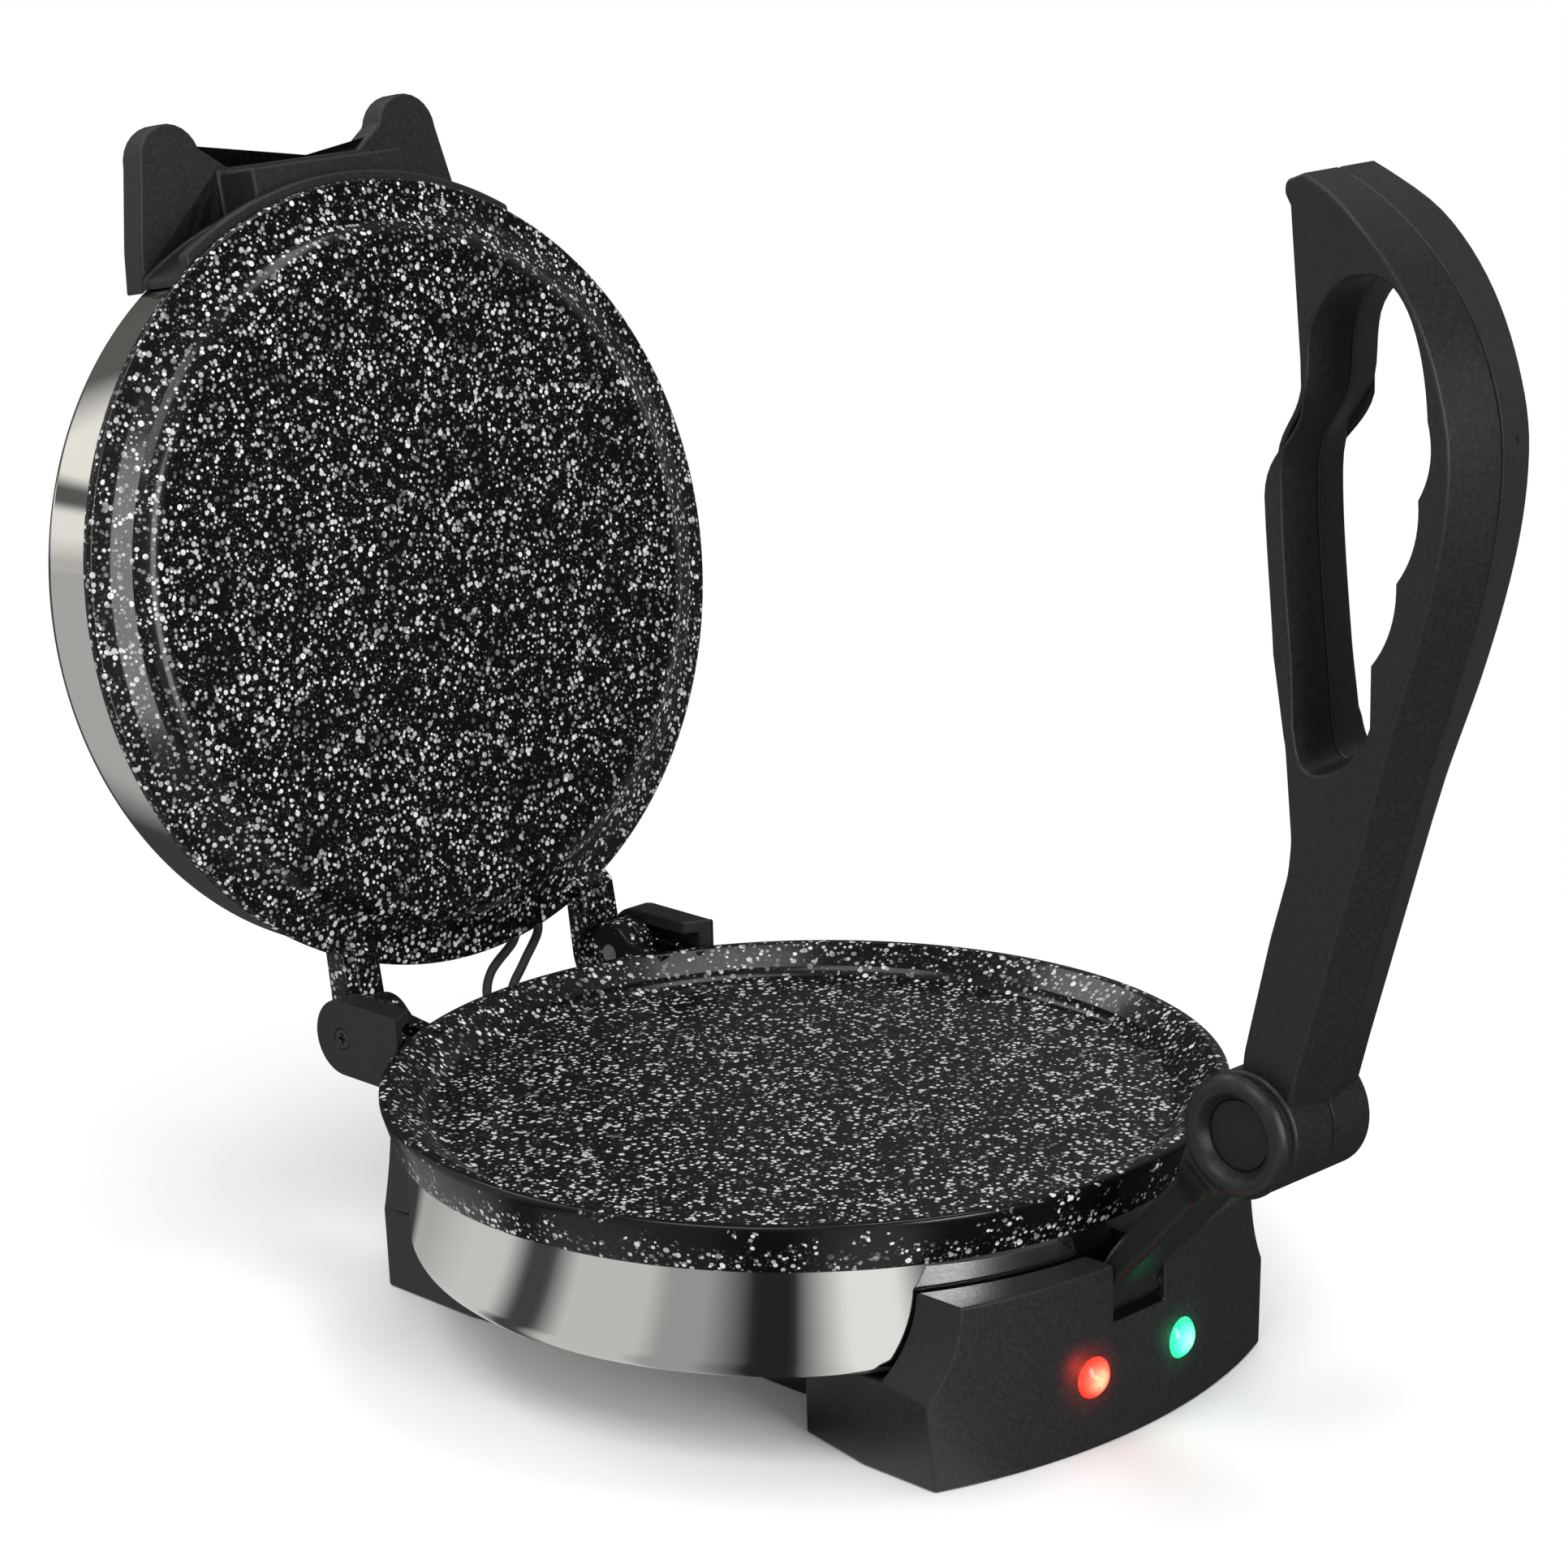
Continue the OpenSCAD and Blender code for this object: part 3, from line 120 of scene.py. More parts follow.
def add(tree, kind, settings=None, inputs=None):
    node = tree.nodes.new(kind)
    for key, value in (settings or {}).items():
        setattr(node, key, value)
    for key, value in (inputs or {}).items():
        if isinstance(value, bpy.types.NodeSocket):
            tree.links.new(value, node.inputs[key])
        else:
            node.inputs[key].default_value = value
    return node


def object_coords(tree):
    return add(tree, "ShaderNodeTexCoord").outputs["Object"]


def noise(tree, scale, detail=3.0, coords=None):
    return add(tree, "ShaderNodeTexNoise", inputs={"Vector": coords or object_coords(tree),
               "Scale": scale, "Detail": detail, "Roughness": 0.5}).outputs["Fac"]


def ramp(tree, value, low, high, at_low=0.0, at_high=1.0, smooth=False):
    node = add(tree, "ShaderNodeMapRange", {"clamp": True},
               {"Value": value, "From Min": low, "From Max": high, "To Min": at_low, "To Max": at_high})
    if smooth:
        node.interpolation_type = "SMOOTHSTEP"
    return node.outputs["Result"]


def maths(tree, kind, a, b):
    return add(tree, "ShaderNodeMath", {"operation": kind}, {0: a, 1: b}).outputs["Value"]


def mixed(tree, factor, a, b):
    node = add(tree, "ShaderNodeMix", {"data_type": "RGBA"}, {0: factor})
    for socket, value in ((node.inputs[6], a), (node.inputs[7], b)):
        if isinstance(value, bpy.types.NodeSocket):
            tree.links.new(value, socket)
        else:
            socket.default_value = (*value, 1)
    return node.outputs[2]


def bump(tree, shader, height, distance):
    node = add(tree, "ShaderNodeBump", inputs={"Height": height, "Distance": distance, "Strength": 1.0})
    tree.links.new(node.outputs["Normal"], shader.inputs["Normal"])


# Materials
def plastic(name, colour, roughness, grain=900.0, depth=0.00006):
    """Moulded plastic with a fine spark-eroded grain and slight wear of its sheen."""
    mat, tree, shader = new_material(name, colour, roughness, specular=0.35)
    coords = object_coords(tree)
    fine = noise(tree, grain, 2.0, coords)
    cloud = noise(tree, 25.0, 3.0, coords)
    wear = maths(tree, "ADD", maths(tree, "MULTIPLY", fine, 0.5), maths(tree, "MULTIPLY", cloud, 0.5))
    tree.links.new(ramp(tree, wear, 0.3, 0.7, roughness - 0.07, roughness + 0.07), shader.inputs["Roughness"])
    tint = ramp(tree, fine, 0.35, 0.7, 0.85, 1.25)
    scaled = add(tree, "ShaderNodeVectorMath", {"operation": "SCALE"}, {0: colour, "Scale": tint})
    tree.links.new(scaled.outputs["Vector"], shader.inputs["Base Color"])
    bump(tree, shader, fine, depth)
    return mat


def speckle_layer(tree, coords, scale, size, share, seed):
    """White flecks: round cells of a Voronoi pattern, of which a share is kept."""
    offset = (seed, seed * 0.7, seed * 1.3)
    moved = add(tree, "ShaderNodeVectorMath", {"operation": "ADD"}, {0: coords, 1: offset})
    cells = add(tree, "ShaderNodeTexVoronoi", inputs={"Vector": moved.outputs["Vector"], "Scale": scale,
                                                      "Randomness": 1.0})
    pick = add(tree, "ShaderNodeSeparateColor", inputs={"Color": cells.outputs["Color"]})
    radius = ramp(tree, pick.outputs["Green"], 0.0, 1.0, size * 0.6, size * 1.25)
    edge = maths(tree, "SUBTRACT", radius, cells.outputs["Distance"])
    dot = ramp(tree, edge, 0.0, size * 0.22, smooth=True)
    kept = maths(tree, "LESS_THAN", pick.outputs["Red"], share)
    bright = ramp(tree, pick.outputs["Blue"], 0.0, 1.0, 0.22, 1.0)
    return maths(tree, "MULTIPLY", maths(tree, "MULTIPLY", dot, kept), bright)


def non_stick(name, share, wall=False):
    """Black coating with pale flecks in loose clumps, under a clear gloss."""
    mat, tree, shader = new_material(name, (0.008, 0.008, 0.009), 0.3, specular=0.12)
    coords = object_coords(tree)
    patches = noise(tree, 110.0, 3.0, coords)
    big = speckle_layer(tree, coords, scale=410.0, size=0.35, share=share, seed=0.0)
    small = speckle_layer(tree, coords, scale=600.0, size=0.37, share=share, seed=0.31)
    dust = speckle_layer(tree, coords, scale=1300.0, size=0.4, share=share * 0.7, seed=0.77)
    flecks = maths(tree, "MAXIMUM", maths(tree, "MAXIMUM", big, small), maths(tree, "MULTIPLY", dust, 0.12))
    clumped = maths(tree, "MULTIPLY", flecks, ramp(tree, patches, 0.38, 0.5, 0.25, 1.0, smooth=True))
    if wall:
        # The outer wall gets few flecks, so it reads darker: painted shade, as this wall lies in shade
        parts = add(tree, "ShaderNodeSeparateXYZ", inputs={"Vector": coords})
        flat = add(tree, "ShaderNodeCombineXYZ", inputs={0: parts.outputs["X"], 1: parts.outputs["Y"]})
        reach = add(tree, "ShaderNodeVectorMath", {"operation": "LENGTH"}, {0: flat.outputs["Vector"]})
        outer = ramp(tree, reach.outputs["Value"], (PLATE_R - 2.6) * MM, (PLATE_R - 1.6) * MM)
        sparse = maths(tree, "GREATER_THAN", noise(tree, 130.0, 2.0, coords), 0.56)
        shown = maths(tree, "MAXIMUM", maths(tree, "SUBTRACT", 1.0, outer), sparse)
        clumped = maths(tree, "MULTIPLY", clumped, shown)
    colour = mixed(tree, clumped, (0.0025, 0.0025, 0.003), (0.66, 0.66, 0.67))
    sheen = ramp(tree, noise(tree, 240.0, 2.0, coords), 0.3, 0.7, 0.27, 0.4)
    tree.links.new(colour, shader.inputs["Base Color"])
    tree.links.new(sheen, shader.inputs["Roughness"])
    shader.inputs["Coat Weight"].default_value = 0.4
    shader.inputs["Coat Roughness"].default_value = 0.14
    bump(tree, shader, maths(tree, "ADD", flecks, noise(tree, 160.0, 2.0, coords)), 0.00002)
    return mat


def polished(name, colour, roughness):
    """Polished sheet: a faint brushed line round the wall and a few softer patches."""
    mat, tree, shader = new_material(name, colour, roughness, 1.0)
    coords = object_coords(tree)
    stretched = add(tree, "ShaderNodeMapping", inputs={"Vector": coords, "Scale": (6.0, 6.0, 900.0)})
    lines = noise(tree, 2.0, 3.0, stretched.outputs["Vector"])
    haze = noise(tree, 18.0, 3.0, coords)
    wear = maths(tree, "ADD", maths(tree, "MULTIPLY", lines, 0.4), maths(tree, "MULTIPLY", haze, 0.6))
    tree.links.new(ramp(tree, wear, 0.3, 0.75, roughness * 0.7, roughness * 1.6), shader.inputs["Roughness"])
    bump(tree, shader, haze, 0.00002)
    return mat


def metal(name, colour, roughness):
    mat, tree, shader = new_material(name, colour, roughness, 1.0)
    tree.links.new(ramp(tree, noise(tree, 300.0, 4.0), 0.3, 0.7, roughness * 0.75, roughness * 1.3),
                   shader.inputs["Roughness"])
    bump(tree, shader, noise(tree, 700.0, 2.0), 0.00002)
    return mat


def glowing(name, colour, core, centre, strength):
    """Lit lens: its middle glows pale and its edge in the lamp's colour."""
    mat, tree, shader = new_material(name, colour, 0.18)
    away = add(tree, "ShaderNodeVectorMath", {"operation": "DISTANCE"},
               {0: object_coords(tree), 1: [v * MM for v in centre]}).outputs["Value"]
    middle = ramp(tree, away, 0.0, LENS_R * MM, 1.0, 0.0, smooth=True)
    grain = ramp(tree, noise(tree, 900.0, 2.0), 0.3, 0.7, 0.8, 1.15)
    tree.links.new(mixed(tree, middle, colour, core), shader.inputs["Emission Color"])
    tree.links.new(maths(tree, "MULTIPLY", ramp(tree, middle, 0.0, 1.0, strength * 0.45, strength), grain),
                   shader.inputs["Emission Strength"])
    return mat


def sleeve(name):
    mat, tree, shader = new_material(name, (0.02, 0.02, 0.022), 0.6)
    cells = add(tree, "ShaderNodeTexVoronoi", inputs={"Vector": object_coords(tree), "Scale": 1500.0})
    bump(tree, shader, cells.outputs["Distance"], 0.0001)
    tree.links.new(ramp(tree, cells.outputs["Distance"], 0.0, 0.6, 0.5, 0.75), shader.inputs["Roughness"])
    return mat


LENS_R = 6.0
LENS_BOX = {side: node_box("lens_" + side) for side in ("red", "green")}


def lens_centre(side):
    low, high = LENS_BOX[side]
    return ((low[0] + high[0]) / 2, low[1] + 1.0, (low[2] + high[2]) / 2)


STAND = plastic("stand_black", (0.014, 0.014, 0.0155), 0.42)
HANDLE = plastic("handle_black", (0.011, 0.011, 0.012), 0.44)
LINK = plastic("link_black", (0.011, 0.011, 0.012), 0.42)
CATCH = plastic("catch_black", (0.015, 0.015, 0.017), 0.45)
TRIM = plastic("trim_black", (0.011, 0.011, 0.012), 0.4)
DISC = plastic("disc_black", (0.008, 0.008, 0.009), 0.5)
LID_COAT = non_stick("lid_speckle", 0.75)
# Its outer wall gets fewer flecks: painted shade
PLATE_COAT = non_stick("plate_speckle", 0.6, wall=True)
CHROME = polished("chrome", (0.8, 0.8, 0.81), 0.045)
FINISHES = {
    "stand_plastic": STAND, "cover_plastic": plastic("cover_black", (0.03, 0.03, 0.031), 0.55),
    "rubber": plastic("rubber_black", (0.02, 0.02, 0.02), 0.75, 500.0), "trim_plastic": TRIM,
    "link_plastic": LINK, "handle_plastic": HANDLE, "catch_plastic": CATCH, "chrome": CHROME,
    "non_stick": PLATE_COAT, "zinc_steel": metal("zinc", (0.6, 0.6, 0.62), 0.3),
    "heater_sheath": metal("sheath", (0.16, 0.16, 0.165), 0.55),
    "plated_steel": metal("plated", (0.62, 0.62, 0.64), 0.35),
    "ceramic_body": plastic("ceramic", (0.7, 0.67, 0.6), 0.6),
    "board": plastic("board", (0.03, 0.16, 0.07), 0.35),
    "terminal_plastic": plastic("terminal", (0.7, 0.7, 0.66), 0.5),
    "lamp_glass": plastic("lamp_body", (0.8, 0.75, 0.7), 0.2), "lead_sleeve": sleeve("lead_sleeve"),
    "lens_red": glowing("lens_red_lit", (1.0, 0.035, 0.02), (1.0, 0.55, 0.3), lens_centre("red"), 1.6),
    "lens_green": glowing("lens_green_lit", (0.02, 0.75, 0.3), (0.55, 1.0, 0.75), lens_centre("green"), 1.1),
    "pin_steel": metal("pin", (0.6, 0.6, 0.62), 0.28),
    "black_screws": metal("black_screw", (0.08, 0.08, 0.085), 0.4),
}


# Helpers for meshes
def smoothed(bm, sharp):
    for face in bm.faces:
        face.smooth = True
    for edge in bm.edges:
        edge.smooth = not (len(edge.link_faces) == 2 and edge.calc_face_angle(0) > radians(sharp))


def make(name, verts, faces, material, body, opened=False, sharp=32.0, weighted=False):
    """A piece from points in millimetres."""
    bm = bmesh.new()
    points = [bm.verts.new(Vector(p)) for p in verts]
    for face in faces:
        bm.faces.new([points[i] for i in face])
    bmesh.ops.remove_doubles(bm, verts=bm.verts, dist=0.0005)
    bmesh.ops.recalc_face_normals(bm, faces=bm.faces)
    bmesh.ops.transform(bm, matrix=Matrix.Scale(MM, 4) @ (OPENED if opened else Matrix()), verts=bm.verts)
    smoothed(bm, sharp)
    return finish_piece(name, bm, material, body, weighted)


def finish_piece(name, bm, material, body, weighted=False):
    mesh = bpy.data.meshes.new(name)
    bm.to_mesh(mesh)
    bm.free()
    mesh.materials.append(material)
    piece = bpy.data.objects.new(name, mesh)
    bpy.context.scene.collection.objects.link(piece)
    if weighted:
        normals = piece.modifiers.new("even_shading", "WEIGHTED_NORMAL")
        normals.keep_sharp = True
    if body:
        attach(piece, body)
    return piece


def rounded(corners, closed=True, step=8.0):
    """Polyline through corners (u, v, radius), with each corner rounded."""
    out, n = [], len(corners)
    for i, (u, v, radius) in enumerate(corners):
        here = Vector((u, v))
        if radius <= 0 or (not closed and i in (0, n - 1)):
            out.append((u, v))
            continue
        before = Vector(corners[i - 1][:2]) - here
        after = Vector(corners[(i + 1) % n][:2]) - here
        half = before.angle(after) / 2
        cut = min(radius / tan(half), 0.49 * before.length, 0.49 * after.length)
        radius = cut * tan(half)
        start, end = here + before.normalized() * cut, here + after.normalized() * cut
        centre = here + (before.normalized() + after.normalized()).normalized() * (radius / sin(half))
        a, b = start - centre, end - centre
        turn = a.angle_signed(b)
        parts = max(2, int(abs(turn) / radians(step)))
        for k in range(parts + 1):
            out.append(tuple(centre + Matrix.Rotation(-turn * k / parts, 2) @ a))
    return out


def curve(a, b, c, d, n):
    """Points on a cubic curve, without its first."""
    out = []
    for i in range(1, n + 1):
        t = i / n
        u = 1 - t
        out.append(tuple(u ** 3 * p + 3 * u * u * t * q + 3 * u * t * t * r + t ** 3 * s
                         for p, q, r, s in zip(a, b, c, d)))
    return out


def arc(centre, radius, start, end, n):
    return [(centre[0] + radius * cos(radians(start + (end - start) * i / n)),
             centre[1] + radius * sin(radians(start + (end - start) * i / n))) for i in range(n + 1)]


def area(points):
    return sum(a[0] * b[1] - b[0] * a[1] for a, b in zip(points, points[1:] + points[:1])) / 2


def inset(points, d):
    """A closed outline moved inwards by d, or by its own d at each point, whichever way it runs."""
    side = 1 if area(points) > 0 else -1
    d = d if isinstance(d, list) else [d] * len(points)
    out, n = [], len(points)
    for i, p in enumerate(points):
        p = Vector(p)
        a, b = p - Vector(points[i - 1]), Vector(points[(i + 1) % n]) - p
        if a.length < 1e-6 or b.length < 1e-6:
            a = b = a if a.length > b.length else b
        a, b = a.normalized(), b.normalized()
        normal = Vector((-a.y - b.y, a.x + b.x)).normalized() * side
        share = max(0.5, normal.dot(Vector((-a.y, a.x)) * side))
        out.append(tuple(p + normal * (d[i] / share)))
    return out


def revolve(name, profile, material, body, opened=False, parts=288, **rest):
    """Turns a line of (radius, height) round the plates' axis."""
    verts, rows = [], []
    for r, z in profile:
        if r < 0.001:
            rows.append([len(verts)] * parts)
            verts.append((0, 0, z))
        else:
            rows.append(range(len(verts), len(verts) + parts))
            verts += [(r * cos(2 * pi * k / parts), r * sin(2 * pi * k / parts), z) for k in range(parts)]
    faces = []
    for low, high in zip(rows, rows[1:]):
        for k in range(parts):
            ring = [low[k], low[(k + 1) % parts], high[(k + 1) % parts], high[k]]
            face = [v for i, v in enumerate(ring) if v not in ring[:i]]
            if len(face) > 2:
                faces.append(face)
    return make(name, verts, faces, material, body, opened, **rest)


def loft(rings, caps=True):
    """Vertices and faces of a skin over rings that have as many points each."""
    n = len(rings[0])
    verts = [p for ring in rings for p in ring]
    faces = [(i * n + k, i * n + (k + 1) % n, (i + 1) * n + (k + 1) % n, (i + 1) * n + k)
             for i in range(len(rings) - 1) for k in range(n)]
    if caps:
        faces += [tuple(range(n))[::-1], tuple(range((len(rings) - 1) * n, len(rings) * n))]
    return verts, faces


def slab(name, outline, x0, x1, material, body, edge=0.8, place=None, opened=False, steps=4):
    """Solid between two X stations whose outline is drawn in Y and Z, with rounded rims."""
    rings = []
    for x, inward in ((x0, 1), (x1, -1)):
        side = []
        for k in range(steps + 1):
            t = radians(90 * k / steps)
            side.append((x + inward * edge * (1 - sin(t)), edge * (1 - cos(t))))
        rings += side[::-1] if inward > 0 else side
    layers = []
    for x, d in sorted(rings):
        layers.append([(x, u, v) for u, v in inset(outline, d)])
    verts, faces = loft(layers)
    if place:
        verts = [place @ Vector(p) for p in verts]
    return make(name, verts, faces, material, body, opened, weighted=True)


def softened(name, node, width, material, body, angle=30.0, steps=3):
    """A CAD node's shape with its sharp edges rounded as a mould rounds them."""
    bm = bmesh.new()
    bm.from_mesh(frame["nodes"][node].data)
    bm.transform(frame["nodes"][node].matrix_world)
    bmesh.ops.remove_doubles(bm, verts=bm.verts, dist=2e-6)
    bmesh.ops.dissolve_limit(bm, angle_limit=radians(0.4), verts=bm.verts, edges=bm.edges)
    corners = [e for e in bm.edges if len(e.link_faces) == 2 and e.calc_face_angle(0) > radians(angle)]
    bmesh.ops.bevel(bm, geom=corners, offset=width * MM, offset_type="OFFSET", segments=steps,
                    profile=0.5, affect="EDGES", clamp_overlap=False)
    bmesh.ops.remove_doubles(bm, verts=bm.verts, dist=2e-6)
    bmesh.ops.recalc_face_normals(bm, faces=bm.faces)
    smoothed(bm, 40.0)
    piece = finish_piece(name, bm, material, body, weighted=True)
    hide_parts(node)
    return piece


# Lower plate: dished casting with two hinge lugs a side
crest_r = PLATE_R - 2.0
dish_r = crest_r - SLOPE_W
skirt_r = PLATE_R - DRAFT
plate_line = (
    [(0, UNDER_Z), (BOWL_R - 4, UNDER_Z)]
    + rounded([(BOWL_R - 4, UNDER_Z, 0), (BOWL_R + SEAT_GAP, UNDER_Z, 0.4), (BOWL_R + SEAT_GAP, SKIRT_Z, 0.4),
               (skirt_r, SKIRT_Z, 1.0), (PLATE_R + 0.02, CREST_Z - 1.9, 9.0),
               (PLATE_R - 0.3, CREST_Z - 0.1, 1.9), (crest_r - 1.7, CREST_Z, 1.2),
               (dish_r + 5.2, DISH_Z + 3.0, 2.5), (dish_r + 5.15, DISH_Z + 2.97, 0)], closed=False)[1:-1]
    + arc((dish_r, DISH_Z + DISH_FILLET), DISH_FILLET, -32, -90, 10)
    + [(dish_r * k / 8, DISH_Z) for k in range(7, -1, -1)])
plate = revolve("plate_casting", plate_line, PLATE_COAT, "base")


def lug_outline(x, radius):
    """Side view of a lug that grows out of the plate's wall and ends round the hinge axis."""
    root = sqrt(PLATE_R ** 2 - x ** 2) - LUG_ROOT
    return ([(root, UNDER_Z + 1)] + arc((HINGE_Y, HINGE_Z), radius, -90, 125, 28)
            + [(HINGE_Y - radius * 0.95, CREST_Z + 0.8), (root, CREST_Z - 0.6)])


lugs = []
for side in (-1, 1):
    tag = "left" if side < 0 else "right"
    for label, x0, x1, radius in (("inner", LUG_X, LUG_X + LUG_T, KNUCKLE_R),
                                  ("outer", OUTER_X, PIN_END, OUTER_LUG_R)):
        low, high = sorted((side * x0, side * x1))
        lugs.append(slab("lug_%s_%s" % (label, tag), lug_outline(x0, radius), low, high, PLATE_COAT, "base"))
for piece in [plate, *lugs]:
    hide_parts("base_plate")


# Chrome bowl and lid cover: drawn sheet with a rolled corner
def shell_line(bottom, top, radius, crown, corner):
    """Outside and inside line (radius, height) of a drawn sheet with its open side up."""
    outer = [(0, bottom - crown)] + [(radius * k / 6 - corner * k / 6, bottom - crown * (1 - (k / 6) ** 2))
                                    for k in range(1, 6)]
    outer += arc((radius - corner, bottom + corner), corner, -90, 0, 12)
    outer += [(radius, top - 0.4), (radius - 0.4, top)]
    inner = [(radius - SHEET_T + 0.3, top), (radius - SHEET_T, top - 0.4)]
    inner += arc((radius - corner, bottom + corner), corner - SHEET_T, 0, -90, 8)
    return outer + inner + [(0, bottom - crown + SHEET_T)]


bowl = revolve("bowl_sheet", shell_line(BOWL_Z, UNDER_Z, BOWL_R, 0, BOWL_RAD), CHROME, "base")
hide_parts("base_bowl")
cover_top = SEAT_Z + COVER_H
cover_line = [(r, cover_top - z) for r, z in shell_line(0, COVER_H, BOWL_R, COVER_CROWN, COVER_RAD)]
cover = revolve("cover_sheet", cover_line, CHROME, "lid", opened=True)
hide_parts("lid_cover")

# Lid plate: convex casting with two hinge arms
shoulder = (SHOULDER_R, LID_FACE_Z + LID_DOME + SHOULDER_RAD)
recess_z = LID_FACE_Z + LID_T
lid_line = (
    [(SHOULDER_R * k / 12, LID_FACE_Z + LID_DOME * (k / 12) ** 2) for k in range(12)]
    + arc(shoulder, SHOULDER_RAD, -88, -35, 12)
    + rounded([(SHOULDER_R + 8, LID_FACE_Z + 4.2, 0), (LID_R - 7, RIM_Z - 1.1, 4.0),
               (LID_R, RIM_Z - 0.1, 1.3), (LID_R, RIM_TOP_Z, 1.4),
               (BOWL_R + SEAT_GAP, RIM_TOP_Z, 0.4), (BOWL_R + SEAT_GAP, SEAT_Z, 0),
               (BOWL_R - LID_RECESS, SEAT_Z, 0), (BOWL_R - LID_RECESS, recess_z, 1.5), (0, recess_z, 0)],
              closed=False)[1:])
lid = revolve("lid_casting", lid_line, LID_COAT, "lid", opened=True)


def arm_outline(root, inner):
    """Side view of a hinge arm: the inner one passes over the lug, the other ends as a knuckle."""
    top = arc((HINGE_Y, HINGE_Z), CLEAR_R + ARM_T, 95, 38, 10)
    low_z = CREST_Z + 1.4
    head = [(root, RIM_Z - 1), (root, RIM_TOP_Z - 0.2)] + top
    if inner:
        tail = arc((HINGE_Y, HINGE_Z), CLEAR_R, 40, 148, 14)
    else:
        tail = arc((HINGE_Y, HINGE_Z), KNUCKLE_R, 12, -205, 34)
    return head + tail + [(tail[-1][0] - 0.4, low_z), (root + 3, low_z)]


arms = []
for side in (-1, 1):
    tag = "left" if side < 0 else "right"
    root = sqrt(LID_R ** 2 - ARM_OUT ** 2) - 1.5
    for label, x0, x1, inner in (("knuckle", KNUCKLE_X, ARM_OUT, False),
                                 ("arm", ARM_X, KNUCKLE_X + 0.6, True)):
        low, high = sorted((side * x0, side * x1))
        arms.append(slab("lid_%s_%s" % (label, tag), arm_outline(root, inner), low, high, LID_COAT, "lid",
                         edge=0.7, opened=True))
for piece in [lid, *arms]:
    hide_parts("lid_plate")

# Handle: two half shells with a seam, round an opening for the fingers. Its lines are drawn
# upright in (Y, Z) from the handle's pivot, as a pattern maker would draw them.
spine = ([(-20.5 - 21.6 * k / 6, 21.5 + 71.8 * k / 6) for k in range(7)]
         + curve((-42.1, 93.3), (-51.5, 123), (-SPINE_REACH, 150), (-SPINE_REACH, 178), 20)
         + curve((-SPINE_REACH, 178), (-SPINE_REACH, 205), (-44, HANDLE_TOP - 11.5), (-13.6, HANDLE_TOP), 22))
member_back = ([(-6.2 - 0.83 * k, HANDLE_TOP - 8 - 9.1 * k) for k in range(5)]
               + curve((-10.3, 190), (-10.5, 178.5), (1.4, 176.5), (1.4, 164), 12)
               + curve((1.4, 164), (0.6, 150), (-1.2, 135), (-1.8, 125), 6))
lower_edge = rounded([(-1.8, 125, 0), (-10.1, 103, 20), (-12.4, 79, 20), (-11.5, 70.4, 25), (-6.1, 52.4, 60),
                      (1.8, 20.7, 20), (3.4, 4, 3), (-8, -8, 0)], closed=False)[1:]
top_edge = arc((-10.4, HANDLE_TOP - 6), 4.6, 86, 6, 7)
foot_rim = (curve((-13.6, 108), (-14.5, 98), (-18, 97.2), (-23.5, 99.8), 12)
            + curve((-23.5, 99.8), (-29, 102.5), (-34, 107), (-36, 113), 8))
cusps = [(-37.4, 128), (-44.4, 149.2), (-50.3, 170.1), (-52.6, 189)]


def groove(a, b):
    away = Vector((a[1] - b[1], b[0] - a[0])).normalized()
    middle = (Vector(a) + Vector(b)) / 2 + away * 2 * GROOVE_DEPTH
    return [tuple((1 - t) ** 2 * Vector(a) + 2 * (1 - t) * t * middle + t * t * Vector(b))
            for t in [k / 10 for k in range(1, 11)]]


grip_rim = [cusps[0]] + [p for a, b in zip(cusps, cusps[1:]) for p in groove(a, b)]
grip_rim += curve(cusps[3], (-51.5, 206), (-46, 221.5), (-36, 221.5), 14)
member_rim = (curve((-36, 221.5), (-25, 221.5), (-18.5, 214), (-18.5, 198), 14)
              + curve((-18.5, 198), (-18.5, 182), (-8.6, 184), (-8.6, 168), 12)
              + curve((-8.6, 168), (-8.6, 150), (-12.5, 125), (-13.6, 108), 14))


def fade(value, low, high):
    t = min(1.0, max(0.0, (value - low) / (high - low)))
    return t * t * (3 - 2 * t)


def across(line, amounts):
    """Each point with a shift square to the line, to its right."""
    out, last = [], len(line) - 1
    for i, (p, amount) in enumerate(zip(line, amounts)):
        along = (Vector(line[min(i + 1, last)]) - Vector(line[max(i - 1, 0)])).normalized()
        out.append((p, (amount * along.y, -amount * along.x)))
    return out


def handle_outline():
    """Points of the outer line with how each shifts from the seam to the side."""
    line = across(spine, [SPINE_CROWN * (1 - fade(z, HANDLE_TOP - 50, HANDLE_TOP)) for _, z in spine])
    line += [(p, (-MEMBER_BACK * k / len(top_edge), 0)) for k, p in enumerate(top_edge)]
    line += [(p, (-MEMBER_BACK - 0.8 * fade(p[1], 175, 195), 0)) for p in member_back]
    line += [(p, (-MEMBER_BACK * fade(p[1], 104, 125), 0)) for p in lower_edge]
    return line


def handle_opening():
    """Points of the opening's rim with how each shifts from the seam to the side."""
    line = across(foot_rim, [-1.2] * len(foot_rim)) + [(p, (0, 0)) for p in grip_rim]
    for p in member_rim:
        line.append((p, ((1.8 + 1.2 * fade(p[1], 165, 195)) * fade(236 - p[1], 14, 30), 0)))
    return line


def half_width(y, z):
    """The bar is a little narrower than the grip, and the inner member narrower still."""
    grip = WAIST_HALF + (GRIP_HALF - WAIST_HALF) * fade(z, 84, 124)
    member = WAIST_HALF - 1.8 * fade(z, 96, 126) + 1.5 * fade(z, 165, 195)
    return member + (grip - member) * fade(-y, 18, 34)


def inside(p, polygon):
    hit = False
    for (a, b), (c, d) in zip(polygon, polygon[1:] + polygon[:1]):
        if (b > p[1]) != (d > p[1]) and p[0] < (c - a) * (p[1] - b) / (d - b) + a:
            hit = not hit
    return hit


